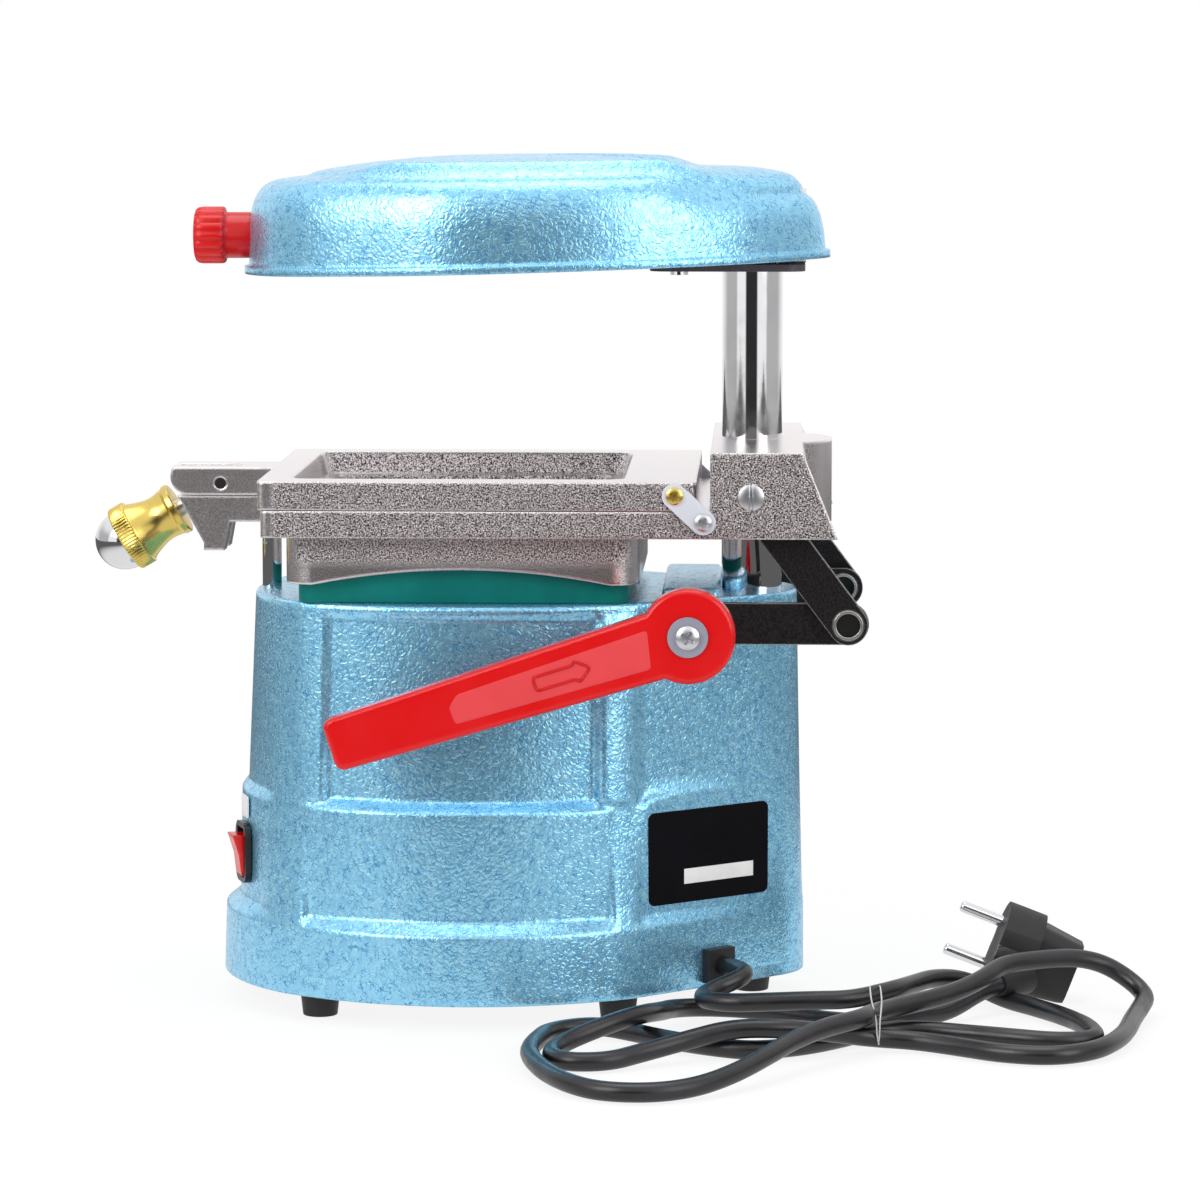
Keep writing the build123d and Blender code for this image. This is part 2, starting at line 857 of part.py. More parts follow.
def vacuum_hose():
    """The rubber hose between the motor's inlet and the suction chamber."""
    hose = rod_up(stem_radius + fit_gap + hose_wall, opening_x, 0, hose_bottom, hose_top)
    return hose - rod_up(stem_radius + fit_gap, opening_x, 0, hose_bottom - overcut, hose_top + overcut)


export("vacuum_motor", vacuum_motor())
export("motor_rotor", motor_rotor())
export("fan_impeller", fan_impeller())
export("motor_mounts", *motor_mounts())
export("vacuum_hose", vacuum_hose())


# ------------------------------------------------------------------ switches, plates and gland
def switch_case(side):
    """A switch body with its bezel and the well for the rocker."""
    bezel = extrude(Plane.YZ * RectangleRounded(bezel_width, bezel_height, bezel_corner), bezel_proud)
    case = Pos(-switch_depth / 2, 0, 0) * Box(switch_depth, switch_body_width, switch_body_height)
    well_half = rocker_half + rocker_gap + 1
    well = Pos(-rocker_well / 2 + bezel_proud, 0, 0) * Box(
        rocker_well, rocker_width + 2 * rocker_gap, 2 * well_half
    )
    axle = Rot(90, 0, 0) * Cylinder(
        rocker_axle_radius + running_gap, rocker_width + 2 * rocker_axle_reach + 1
    )
    return switch_frame(side) * (bezel + case - well - axle)


def rocker(side):
    """A rocker with its axle, pressed in at the bottom."""
    outline = [
        (-rocker_back, -rocker_half + 2),
        (rocker_proud, -rocker_half),
        (rocker_centre_proud, 0),
        (rocker_proud, rocker_half),
        (-rocker_back, rocker_half - 2),
    ]
    face = make_face(Polyline(*[Vector(x, rocker_width / 2, z) for x, z in outline], close=True))
    key = extrude(face, rocker_width, dir=(0, -1, 0))
    key = key + Rot(90, 0, 0) * Cylinder(rocker_axle_radius, rocker_width + 2 * rocker_axle_reach)
    return switch_frame(side) * Rot(0, rocker_sweep, 0) * key


def switch_label(side):
    """A blank label above a switch."""
    place = switch_frame(side) * Pos(0, 0, label_z - switch_z)
    return place * extrude(Plane.YZ * RectangleRounded(label_width, label_height, 1), label_thickness)


def rating_plate():
    """The blank black rating plate on the near side."""
    return plate_frame() * extrude(Plane.YZ * plate_outline(0.0), rating_thickness)


def cord_gland():
    """The square bush that the cord passes through."""
    bush = Pos((gland_proud - gland_depth) / 2, 0, 0) * Box(
        gland_proud + gland_depth, gland_width - 2 * fit_gap, gland_height
    )
    bore = Pos(-gland_depth, 0, 0) * Rot(0, 90, 0) * Cylinder(cord_diameter / 2, gland_depth * 1.6)
    return gland_frame() * (bush - bore)


def terminal_block():
    """The terminal strip inside the housing, on the cover."""
    length, width, height = terminal_size
    strip = Pos(terminal_x, 0, cover_bottom + cover_thickness + height / 2) * Box(length, width, height)
    for i in range(terminal_ways):
        x = terminal_x + (i - (terminal_ways - overcut) / 2) * length / terminal_ways
        strip = strip - rod_up(width / 6, x, 0, cover_bottom + height / 2, cover_bottom + height * 2)
    return strip


export("switch_cases", switch_case(-1), switch_case(1))
export("heat_rocker", rocker(-1))
export("vacuum_rocker", rocker(1))
export("switch_labels", switch_label(-1), switch_label(1))
export("rating_plate", rating_plate())
export("cord_gland", cord_gland())
export("terminal_block", terminal_block())


# ------------------------------------------------------------------ lift shaft, cranks and lever
def shaft_bushes():
    """Flanged bronze bushes in the bridge's two ends."""
    outer = shaft_radius + running_gap + bush_wall
    bush = rod_across(outer, shaft_x, shaft_z, -ear_outer, -ear_inner)
    bush = bush + rod_across(bush_flange_radius, shaft_x, shaft_z, -ear_outer - bush_flange, -ear_outer)
    bore = rod_across(
        shaft_radius + running_gap, shaft_x, shaft_z, -ear_outer - bush_flange - overcut, -ear_inner + 1
    )
    return both_sides(bush - bore)


def cross_shaft():
    """The shaft that joins the lever and both cranks."""
    near_end = lever_inner + lever_socket
    shaft = rod_across(
        shaft_radius, shaft_x, shaft_z, -near_end, crank_inner + plate_thickness + plate_gap
    )
    tap = rod_across(
        lever_screw_radius + fit_gap, shaft_x, shaft_z, -near_end - overcut, -near_end + lever_screw_length
    )
    return shaft - tap


def crank():
    """The near crank plate: a bar with round ends, bored for the shaft and for the link's pin."""
    half = crank_width / 2
    outer = crank_inner + plate_thickness
    bar = block(shaft_x, crank_end_x, -outer, -crank_inner, shaft_z - half, shaft_z + half)
    for x in (shaft_x, crank_end_x):
        bar = bar + rod_across(half, x, shaft_z, -outer, -crank_inner)
    bar = bar - rod_across(
        shaft_radius + fit_gap, shaft_x, shaft_z, -outer - overcut, -crank_inner + overcut
    )
    return bar - rod_across(
        crank_pin_radius + fit_gap, crank_end_x, shaft_z, -outer - overcut, -crank_inner + 1
    )


def crank_pins():
    """The tubular pins that the links turn on."""
    y0 = -link_outer - crank_pin_rim
    pin = rod_across(crank_pin_radius, crank_end_x, shaft_z, y0, -crank_inner)
    return both_sides(
        pin - rod_across(crank_pin_bore, crank_end_x, shaft_z, y0 - overcut, -crank_inner + overcut)
    )


def link():
    """The near link plate, from the crank pin up to the carriage's pivot."""
    lean = math.degrees(math.atan2(pivot_z - shaft_z, -crank_end_x))
    half = link_width / 2
    bar = Pos(link_length / 2, 0, 0) * Box(link_length, plate_thickness, link_width)
    for x in (0, link_length):
        bar = bar + Pos(x, 0, 0) * Rot(90, 0, 0) * Cylinder(half, plate_thickness)
    bar = bar - Rot(90, 0, 0) * Cylinder(crank_pin_radius + running_gap, plate_thickness * 2)
    bar = bar - Pos(link_length, 0, 0) * Rot(90, 0, 0) * Cylinder(link_top_hole, plate_thickness * 2)
    return Pos(crank_end_x, -(link_inner + link_outer) / 2, shaft_z) * Rot(0, -lean, 0) * bar


def lift_lever():
    """The moulded lever: a round hub and a tapering arm that points forwards and down."""
    outline = [
        (0, lever_root_width / 2),
        (-lever_length, lever_tip_width / 2),
        (-lever_length, -lever_tip_width / 2),
        (0, -lever_root_width / 2),
    ]
    face = make_face(Polyline(*[Vector(x, 0, z) for x, z in outline], close=True))
    arm = extrude(face, lever_thickness, dir=(0, -1, 0))
    tip_edges = arm.edges().filter_by(Axis.Y).group_by(Axis.X)[0]
    arm = fillet(tip_edges, lever_tip_fillet)
    hub = Pos(0, -lever_thickness / 2, 0) * Rot(90, 0, 0) * Cylinder(lever_hub_radius, lever_thickness)
    lever = arm + hub
    outer_edges = lever.edges().group_by(Axis.Y)[0]
    lever = chamfer(outer_edges, lever_edge)
    lever = Pos(shaft_x, -lever_inner, shaft_z) * Rot(0, -lever_droop, 0) * lever
    socket = rod_across(
        shaft_radius + fit_gap, shaft_x, shaft_z, -lever_inner - lever_socket, -lever_inner + 1
    )
    hole = rod_across(
        lever_screw_radius + fit_gap, shaft_x, shaft_z, -lever_inner - lever_thickness - overcut, -lever_inner
    )
    return lever - socket - hole


def lever_washer():
    face = -lever_inner - lever_thickness
    ring = rod_across(washer_radius, shaft_x, shaft_z, face - washer_thickness, face)
    return ring - rod_across(
        lever_screw_radius + fit_gap, shaft_x, shaft_z, face - washer_thickness - overcut, face + 1
    )


def lever_screw():
    face = -lever_inner - lever_thickness - washer_thickness
    end = -lever_inner - lever_socket + lever_screw_length - 2
    head = rod_across(lever_screw_head_radius, shaft_x, shaft_z, face - lever_screw_head, face)
    return head + rod_across(lever_screw_radius, shaft_x, shaft_z, face - overcut, end)


export("shaft_bushes", *shaft_bushes())
export("cross_shaft", cross_shaft())
export("near_crank", crank())
export("far_crank", mirror(crank(), about=Plane.XZ))
export("crank_pins", *crank_pins())
export("near_link", link())
export("far_link", mirror(link(), about=Plane.XZ))
export("lift_lever", lift_lever())
export("lever_washer", lever_washer())
export("lever_screw", lever_screw())


# ------------------------------------------------------------------ carriage with the lower frame
clamp_pin_x, clamp_pin_z = clamp_pin


def lug_slot():
    """The slot in both clamp lugs that the swing bolt lies in."""
    return block(
        -far_cut, slot_back, -slot_half, slot_half, lug_tab_bottom - overcut, upper_top_z + overcut
    )


def lower_lug():
    """The lower clamp lug: a slanted front face square to the bolt, and two tabs below it."""
    angle = math.radians(lug_face_angle)
    face_x = clamp_pin_x - lug_face * math.cos(angle)
    face_z = clamp_pin_z - lug_face * math.sin(angle)
    top_x = face_x - (lower_top - face_z) * math.tan(angle)
    low_z = face_z - (lug_tab_front - face_x) / math.tan(angle)
    outline = [
        (lower_front + overcut, lower_top),
        (top_x, lower_top),
        (lug_tab_front, low_z),
        (lug_tab_front, lug_tab_bottom),
        (lug_tab_back, lug_tab_bottom),
        (lug_tab_root, lower_bottom),
        (lower_front + overcut, lower_bottom),
    ]
    lug = side_profile(outline, -lower_lug_half, lower_lug_half)
    return lug - lug_slot()


def shroud():
    """The rounded skirt under the lower frame, arched along its sides."""
    outer = rounded_block(
        shroud_front, shroud_back, shroud_half, shroud_bottom, lower_bottom + overcut, shroud_corner
    )
    arch_radius = ((arch_length / 2) ** 2 + arch_rise**2) / (2 * arch_rise)
    middle = (shroud_front + shroud_back) / 2
    arch = rod_across(arch_radius, middle, shroud_bottom + arch_rise - arch_radius, -far_cut, far_cut)
    return outer - arch


def carriage():
    """One casting: lower clamping frame, shroud, clamp lug, hub on the column and side walls."""
    plate = rounded_block(
        lower_front,
        carriage_front + carriage_front_wall,
        frame_half,
        lower_bottom,
        lower_top,
        frame_corner,
    )
    whole = plate + shroud() + lower_lug()
    side = [
        (carriage_front, lower_bottom),
        (carriage_back, lower_bottom),
        (carriage_back_top, carriage_top),
        (carriage_front, carriage_top),
    ]
    box = side_profile(side, -frame_half, frame_half)
    inner_half = frame_half - carriage_wall
    front_inner = carriage_front + carriage_front_wall
    room = block(
        front_inner, far_cut, -inner_half, inner_half, lower_bottom - overcut, carriage_top - carriage_roof
    )
    whole = whole + (box - room)
    hub = rod_up(hub_radius, 0, 0, lower_bottom, carriage_top)
    ring_room = rod_up(hub_radius - hub_wall, 0, 0, lower_bottom - overcut, carriage_top - carriage_roof)
    ring_room = ring_room - rod_up(hub_core_radius, 0, 0, lower_bottom - overcut, carriage_top)
    hub = (hub - ring_room) & block(carriage_front, far_cut, -far_cut, far_cut, 0, far_cut)
    whole = whole + hub
    inner_half_shroud = shroud_half - shroud_wall
    well = rounded_block(
        shroud_front + shroud_wall,
        shroud_back - shroud_wall,
        inner_half_shroud,
        shroud_bottom - overcut,
        lower_top - lower_lip,
        shroud_corner - shroud_wall,
    )
    lip_half = lip_side / 2
    mouth = rounded_block(
        opening_x - lip_half, opening_x + lip_half, lip_half, lower_bottom, lower_top + overcut, lip_corner
    )
    bore = rod_up(bush_outer + fit_gap, 0, 0, lower_bottom - overcut, carriage_top + overcut)
    rod_hole = rod_up(rod_radius + fit_gap, rod_x, 0, lower_bottom - overcut, lower_bottom + rod_socket)
    whole = whole - well - mouth - bore - rod_hole
    for hole in both_sides(
        rod_across(
            pivot_screw_radius + fit_gap, 0, pivot_z, -frame_half - overcut, -inner_half + overcut
        )
    ):
        whole = whole - hole
    pin_x, pin_z = side_link_pin
    depth = frame_half - small_screw_depth
    for hole in both_sides(
        rod_across(small_screw_radius + fit_gap, pin_x, pin_z, -frame_half - overcut, -depth)
    ):
        whole = whole - hole
    return whole


def carriage_bushes():
    """Two bronze bushes between the carriage and the column."""
    result = []
    for z0 in (lower_bottom, carriage_top - bush_length):
        ring = rod_up(bush_outer, 0, 0, z0, z0 + bush_length)
        result.append(
            ring - rod_up(column_radius + running_gap, 0, 0, z0 - overcut, z0 + bush_length + overcut)
        )
    return result


def front_rod():
    """The chrome rod under the carriage's front that slides in the housing."""
    return rod_up(rod_radius, rod_x, 0, rod_foot, lower_bottom + rod_socket)


def pivot_screws():
    """The slotted screws at the tops of the links."""
    inner = frame_half - carriage_wall
    head = rod_across(pivot_head_radius, 0, pivot_z, -frame_half - pivot_head, -frame_half)
    head = fillet(head.edges().group_by(Axis.Y)[0], pivot_head / 2)
    slot = block(
        -far_cut,
        far_cut,
        -frame_half - pivot_head - overcut,
        -frame_half - pivot_head / 2,
        pivot_z - pivot_slot / 2,
        pivot_z + pivot_slot / 2,
    )
    head = head - slot
    shank = rod_across(pivot_screw_radius, 0, pivot_z, -frame_half - pivot_head / 2, -inner)
    return both_sides(head + shank)


def cap_screw(x, z, inner_end, head_face):
    """A small round-headed screw across the machine on the near side."""
    head = rod_across(small_head_radius, x, z, -head_face - small_head, -head_face)
    head = fillet(head.edges().group_by(Axis.Y)[0], small_head / 2)
    return head + rod_across(small_screw_radius, x, z, -head_face, -inner_end)


side_link_outer = frame_half + side_gap + side_link_thickness


def side_link_pins():
    """The steel screws in the carriage that the side links turn on."""
    x, z = side_link_pin
    screw = cap_screw(x, z, frame_half - small_screw_depth + overcut, side_link_outer + side_gap)
    return both_sides(screw)


export("carriage", carriage())
export("carriage_bushes", *carriage_bushes())
export("front_rod", front_rod())
export("pivot_screws", *pivot_screws())
export("side_link_pins", *side_link_pins())


# ------------------------------------------------------------------ upper frame
def upper_lug():
    """The upper clamp lug: its nose is round about the clamp pin."""
    lug = block(
        clamp_pin_x - nose_radius - overcut,
        frame_front + overcut,
        -lug_half,
        lug_half,
        upper_bottom_z,
        upper_top_z,
    )
    nose = rod_across(nose_radius, clamp_pin_x, clamp_pin_z, -lug_half, lug_half)
    nose = nose + block(clamp_pin_x, frame_front + overcut, -lug_half, lug_half, 0, far_cut)
    lug = lug & nose
    top_edge = lug.edges().filter_by(Axis.Y).group_by(Axis.X)[0].sort_by(Axis.Z)[-1]
    lug = fillet(top_edge, nose_fillet)
    lug = lug - lug_slot()
    return lug - rod_across(
        clamp_pin_radius + fit_gap, clamp_pin_x, clamp_pin_z, -lug_half - overcut, lug_half + 1
    )


def upper_frame():
    """The upper clamping frame: a square lip, a funnel above it and the clamp lug."""
    frame = rounded_block(frame_front, frame_back, frame_half, upper_bottom_z, upper_top_z, frame_corner)
    lip_half = lip_side / 2
    mouth = rounded_block(
        opening_x - lip_half,
        opening_x + lip_half,
        lip_half,
        upper_bottom_z - overcut,
        upper_top_z + overcut,
        lip_corner,
    )
    wide = Pos(opening_x, 0, upper_top_z) * RectangleRounded(
        opening_length, 2 * opening_half, opening_corner
    )
    narrow_length = opening_length - upper_lip_ledge
    narrow_width = 2 * opening_half - upper_lip_ledge
    narrow = Pos(opening_x, 0, upper_bottom_z + upper_lip) * RectangleRounded(
        narrow_length, narrow_width, opening_corner
    )
    funnel = loft([narrow, wide], ruled=True)
    whole = frame + upper_lug() - mouth - funnel
    x, z = side_link_screw
    depth = frame_half - small_screw_depth
    for hole in both_sides(
        rod_across(small_screw_radius + fit_gap, x, z, -frame_half - overcut, -depth)
    ):
        whole = whole - hole
    return whole


def side_links():
    """The two zinc plates that hinge the upper frame to the carriage."""
    x0, z0 = side_link_pin
    x1, z1 = side_link_screw
    length = math.hypot(x1 - x0, z1 - z0)
    lean = math.degrees(math.atan2(z1 - z0, x1 - x0))
    plate = Pos(length / 2, 0, 0) * Box(length, side_link_thickness, 2 * side_link_radius)
    for x in (0, length):
        plate = plate + Pos(x, 0, 0) * Rot(90, 0, 0) * Cylinder(side_link_radius, side_link_thickness)
    for x in (0, length):
        plate = plate - Pos(x, 0, 0) * Rot(90, 0, 0) * Cylinder(
            small_screw_radius + running_gap, side_link_thickness * 2
        )
    middle = frame_half + side_gap + side_link_thickness / 2
    return both_sides(Pos(x0, -middle, z0) * Rot(0, -lean, 0) * plate)


def frame_screws():
    """The brass screws that hold the side links to the upper frame."""
    x, z = side_link_screw
    screw = cap_screw(x, z, frame_half - small_screw_depth + overcut, side_link_outer)
    return both_sides(screw)


def clamp_pin_rod():
    return rod_across(clamp_pin_radius, clamp_pin_x, clamp_pin_z, -lug_half, lug_half)


export("upper_frame", upper_frame())
export("side_links", *side_links())
export("frame_screws", *frame_screws())
export("clamp_pin", clamp_pin_rod())


# ------------------------------------------------------------------ swing bolt and clamp nut
bolt_place = Location((clamp_pin_x, 0, clamp_pin_z), (0, 270 - bolt_angle, 0))


def swing_bolt():
    """The eye bolt on the clamp pin. Its own axis is Z here, and the place turns it forwards and down."""
    eye = Rot(90, 0, 0) * Cylinder(bolt_eye_radius, 2 * bolt_eye_half)
    shank = Pos(0, 0, bolt_end / 2) * Cylinder(bolt_radius, bolt_end)
    whole = eye + shank
    return bolt_place * (whole - Rot(90, 0, 0) * Cylinder(clamp_pin_radius + running_gap, far_cut))


def clamp_nut():
    """The brass hand nut: a collar, a waist and a knurled ring."""
    f = nut_face
    waist = Spline(
        (nut_collar_radius - 0.6, 0, f + nut_collar),
        (nut_waist_radius, 0, f + nut_waist),
        (nut_flare_radius, 0, f + nut_flare),
    )
    edges = [
        Polyline(
            (nut_bore_radius, 0, f), (nut_collar_radius, 0, f), (nut_collar_radius, 0, f + nut_collar)
        ),
        Line((nut_collar_radius, 0, f + nut_collar), (nut_collar_radius - 0.6, 0, f + nut_collar)),
        waist,
        Polyline(
            (nut_flare_radius, 0, f + nut_flare),
            (knurl_radius, 0, f + nut_flare),
            (knurl_radius, 0, f + knurl_end),
            (nut_bore_radius, 0, f + knurl_end),
            (nut_bore_radius, 0, f),
        ),
    ]
    face = make_face(Wire([edge for curve in edges for edge in curve.edges()]))
    return bolt_place * revolve(face, Axis.Z)


def nut_dome():
    """The chrome dome that closes the nut's end."""
    ball = Pos(0, 0, nut_face + knurl_end) * Sphere(dome_radius)
    half = Pos(
        0, 0, nut_face + knurl_end + dome_radius
    ) * Cylinder(dome_radius + overcut, 2 * dome_radius)
    cap = ball & half
    return bolt_place * (cap - Pos(0, 0, bolt_end / 2) * Cylinder(nut_bore_radius, bolt_end + overcut))


export("swing_bolt", swing_bolt())
export("clamp_nut", clamp_nut())
export("nut_dome", nut_dome())


# ------------------------------------------------------------------ heater head
head_middle = (head_rear - head_front) / 2
head_half_length = (head_front + head_rear) / 2
head_place = Location((0, 0, head_base), (0, -head_tilt, 0))


def head_plan(height, inset_along, inset_across, lean=0.0):
    """The head's plan at a height above its rim: an egg, wide over the heater, narrow over the column."""
    along = (head_half_length - inset_along) / head_half_length
    across = (head_half - inset_across) / head_half
    shape = (
        (1.0, 0.0), (0.86, 0.56), (0.55, 0.85), (0.2, 1.0), (-0.3, 0.93), (-0.72, 0.64), (-0.95, 0.26)
    )
    far = [(head_middle - u * head_half_length * along, v * head_half * across) for u, v in shape]
    rear = (head_middle + head_half_length * along, 0)
    near = [(x, -y) for x, y in reversed(far[1:])]
    outline = Spline(*far, rear, *near, periodic=True)
    place = Pos(head_middle, 0, height) * Rot(0, lean, 0) * Pos(-head_middle, 0, 0)
    return place * make_face(Wire(outline.edges()))


def head_form(inset, drop):
    """The head's outer form, inset by a wall."""
    plans = []
    for height, along, across in head_profile:
        lean = 0.0 if height == head_lip_height else head_crown_lean
        plans.append(head_plan(height - drop, along + inset, across + inset, lean))
    return loft(plans, ruled=True)


def head_shell():
    """The cast shell, hollow from below, with a lip round its rim."""
    lip = extrude(head_plan(0, 0, 0), head_lip_height)
    base_height, base_inset, _ = head_profile[0]
    crown = head_form(0, 0)
    cavity = head_form(head_wall, head_wall)
    throat_inset = base_inset + head_wall
    throat = extrude(head_plan(-1, throat_inset, throat_inset), base_height + overcut)
    shell = (lip + crown) - cavity - throat
    for x, y in (head_screw, (head_screw[0], -head_screw[1])):
        boss = rod_up(head_boss_radius, x, y, 0, head_profile[-1][0])
        shell = shell + (boss & (crown + lip))
    hanger_foot = reflector_height + heater_clear + 0.6
    hanger = rod_up(head_boss_radius, heater_x, 0, hanger_foot, head_profile[-1][0]) & crown
    shell = shell + hanger
    shell = head_place * shell
    shell = shell - block(
        bracket_front - bracket_cut,
        far_cut,
        -bracket_half - bracket_cut,
        bracket_half + bracket_cut,
        0,
        bracket_bottom + bracket_thickness,
    )
    for x, y in (head_screw, (head_screw[0], -head_screw[1])):
        shell = shell - rod_up(head_screw_radius + fit_gap, x, y, 0, bracket_bottom + screw_into_shell)
    shell = shell - rod_up(collar_radius + overcut, 0, 0, 0, column_top + stop_gap + collar_roof + 0.5)
    bolt_top = head_base + reflector_height + heater_clear + heater_bolt_room
    shell = shell - rod_up(heater_bolt_radius + fit_gap, heater_x, 0, 0, bolt_top)
    stud_place = Pos(grip_neck_end, 0, grip_z) * Rot(0, 90, 0)
    return shell - stud_place * Cylinder(grip_neck_radius / 3 + fit_gap, grip_stud_hole)


def head_bracket():
    """The steel plate under the head, bored for the column."""
    plate = rounded_block(
        bracket_front,
        bracket_rear,
        bracket_half,
        bracket_bottom,
        bracket_bottom + bracket_thickness,
        bracket_corner,
    )
    plate = plate - rod_up(column_radius + running_gap, 0, 0, bracket_bottom - overcut, column_top)
    for x, y in (head_screw, (head_screw[0], -head_screw[1])):
        plate = plate - rod_up(head_screw_radius + fit_gap, x, y, bracket_bottom - overcut, column_top)
    return plate


def swivel_collar():
    """The cup on the column's top that carries the head and lets it turn."""
    low = bracket_bottom + bracket_thickness
    top = column_top + stop_gap + collar_roof
    cup = rod_up(collar_radius, 0, 0, low, top)
    return cup - rod_up(column_radius + running_gap, 0, 0, low - overcut, column_top + stop_gap)


def head_screws():
    """Two screws that hold the bracket to the shell."""
    result = []
    for x, y in (head_screw, (head_screw[0], -head_screw[1])):
        head = rod_up(head_screw_head_radius, x, y, bracket_bottom - head_screw_head, bracket_bottom)
        result.append(
            head + rod_up(
                head_screw_radius, x, y, bracket_bottom - overcut, bracket_bottom + screw_reach
            ),
        )
    return result


def head_grip():
    """The ribbed knob on the head's nose, with its stud through the shell."""
    turn = Rot(0, 90, 0)
    cap_middle = grip_tip + grip_cap / 2
    cap = Pos(cap_middle, 0, grip_z) * turn * Cylinder(grip_cap_radius, grip_cap)
    cap = chamfer(cap.edges().group_by(Axis.X)[0], 1.5)
    for i in range(grip_ribs):
        angle = math.radians(i * 360 / grip_ribs)
        y = grip_cap_radius * math.cos(angle)
        z = grip_z + grip_cap_radius * math.sin(angle)
        cap = cap - Pos(cap_middle, y, z) * turn * Cylinder(grip_rib_radius, grip_cap + 2)
    neck_length = grip_neck_end - grip_tip - grip_cap
    neck_middle = grip_tip + grip_cap + neck_length / 2
    neck = Pos(neck_middle, 0, grip_z) * turn * Cylinder(grip_neck_radius, neck_length + 0.01)
    neck = neck - head_place * (extrude(head_plan(0, 0, 0), head_lip_height) + head_form(0, 0))
    stud = Pos(grip_neck_end, 0, grip_z) * turn * Cylinder(grip_neck_radius / 3, grip_stud)
    return cap + neck + stud


def reflector():
    """The bright dish over the heater."""
    r = reflector_radius
    rim = reflector_rim
    t = reflector_thickness
    top = reflector_height
    outline = Polyline(
        (heater_bolt_radius + fit_gap, 0, top),
        (r - rim * 3, 0, top),
        (r - rim, 0, t),
        (r, 0, t),
        (r, 0, 0),
        (r - rim - t, 0, 0),
        (r - rim * 3 - t, 0, top - t),
        (heater_bolt_radius + fit_gap, 0, top - t),
        close=True,
    )
    dish = revolve(make_face(outline), Axis.Z)
    return Pos(heater_x, 0, heater_rim_z) * dish


heater_rim_z = head_base + heater_x * -math.tan(math.radians(-head_tilt)) + heater_clear
ceramic_top = heater_rim_z + reflector_height - reflector_thickness
ceramic_bottom = ceramic_top - ceramic_thickness


def heater_ceramic():
    """The ceramic disc that carries the heating coil."""
    disc = rod_up(ceramic_radius, heater_x, 0, ceramic_bottom, ceramic_top)
    return disc - rod_up(
        heater_bolt_radius + fit_gap, heater_x, 0, ceramic_bottom - overcut, ceramic_top + overcut
    )


def heater_coil():
    """The heating wire, ring inside ring, under the ceramic."""
    rings = []
    for i in range(coil_turns):
        radius = coil_first + i * coil_step
        rings.append(Pos(heater_x, 0, ceramic_bottom - coil_wire) * Torus(radius, coil_wire))
    return rings


def heater_bolt():
    """The bolt that hangs the heater in the shell, with the cap nut below it."""
    top = head_base + reflector_height + heater_clear + 8
    low = ceramic_bottom - 3
    stem = rod_up(heater_bolt_radius, heater_x, 0, low, top)
    nut = rod_up(heater_nut_radius, heater_x, 0, ceramic_bottom - heater_nut, ceramic_bottom)
    return stem + nut


export("head_shell", head_shell())
export("head_bracket", head_bracket())
export("swivel_collar", swivel_collar())
export("head_screws", *head_screws())
export("head_grip", head_grip())
export("reflector", reflector())
export("heater_ceramic", heater_ceramic())
export("heater_coil", *heater_coil())
export("heater_bolt", heater_bolt())


# ------------------------------------------------------------------ mains cord
def lead_route():
    """The lead's points: out of the gland square to it, then the free points."""
    exit_point = (gland_frame() * Pos(gland_proud, 0, 0)).position
    first_point = (gland_frame() * Pos(gland_proud + lead_start, 0, 0)).position
    return [exit_point, first_point] + [Vector(*point) for point in lead_points]


def bend_radii(points):
    """One radius for each corner: 0.45 of its shorter run over the tangent of half its turn."""
    radii = []
    for before, here, after in zip(points, points[1:], points[2:]):
        first = here - before
        second = after - here
        turn = math.radians(first.get_angle(second))
        shorter = min(first.length, second.length)
        radii.append(0.45 * shorter / math.tan(turn / 2))
    return radii


def cord_lead():
    """The stretch of cord from the gland to the hank."""
    points = lead_route()
    radii = bend_radii(points)
    print("cord lead radii:", [round(radius, 1) for radius in radii])
    path = FilletPolyline(*points, radius=radii)
    ring = Plane(origin=points[0], z_dir=points[1] - points[0]) * Circle(cord_diameter / 2)
    tube = sweep(ring, path=path)
    print("cord lead volume:", round(tube.volume), "section x length:", round(path.length * ring.area))
    return tube


def outline_slab(points, height):
    """A closed smooth outline on the table, as a slab."""
    curve = Spline(*[(x, y) for x, y in points], periodic=True)
    return extrude(make_face(Wire(curve.edges())), height)


def tie_ring(gap):
    """The twist tie round the hank's waist."""
    middle = Pos(tie_x, (tie_far + tie_near) / 2, tie_top / 2)
    width = tie_far - tie_near
    outer = middle * Box(tie_wire + gap, width + gap, tie_top + gap)
    inner = middle * Box(far_cut, width - 2 * tie_wire - gap, tie_top - 2 * tie_wire - gap)
    return outer - inner


def cord_hank():
    """The folded hank's outer form: two low lobes, a tied waist and the strand that leans on the plug."""
    lobes = outline_slab(hank_outline, hank_height)
    near = tie_near + tie_wire + waist_gap
    far = tie_far - tie_wire - waist_gap
    waist = block(tie_x - waist_half, tie_x + waist_half, near, far, 0, waist_height)
    lean = outline_slab(lean_outline, hank_lean_height)
    return lobes + waist + lean - tie_ring(waist_gap)


plug_place = Location(plug_centre, (0, 180 + plug_tilt, 0))


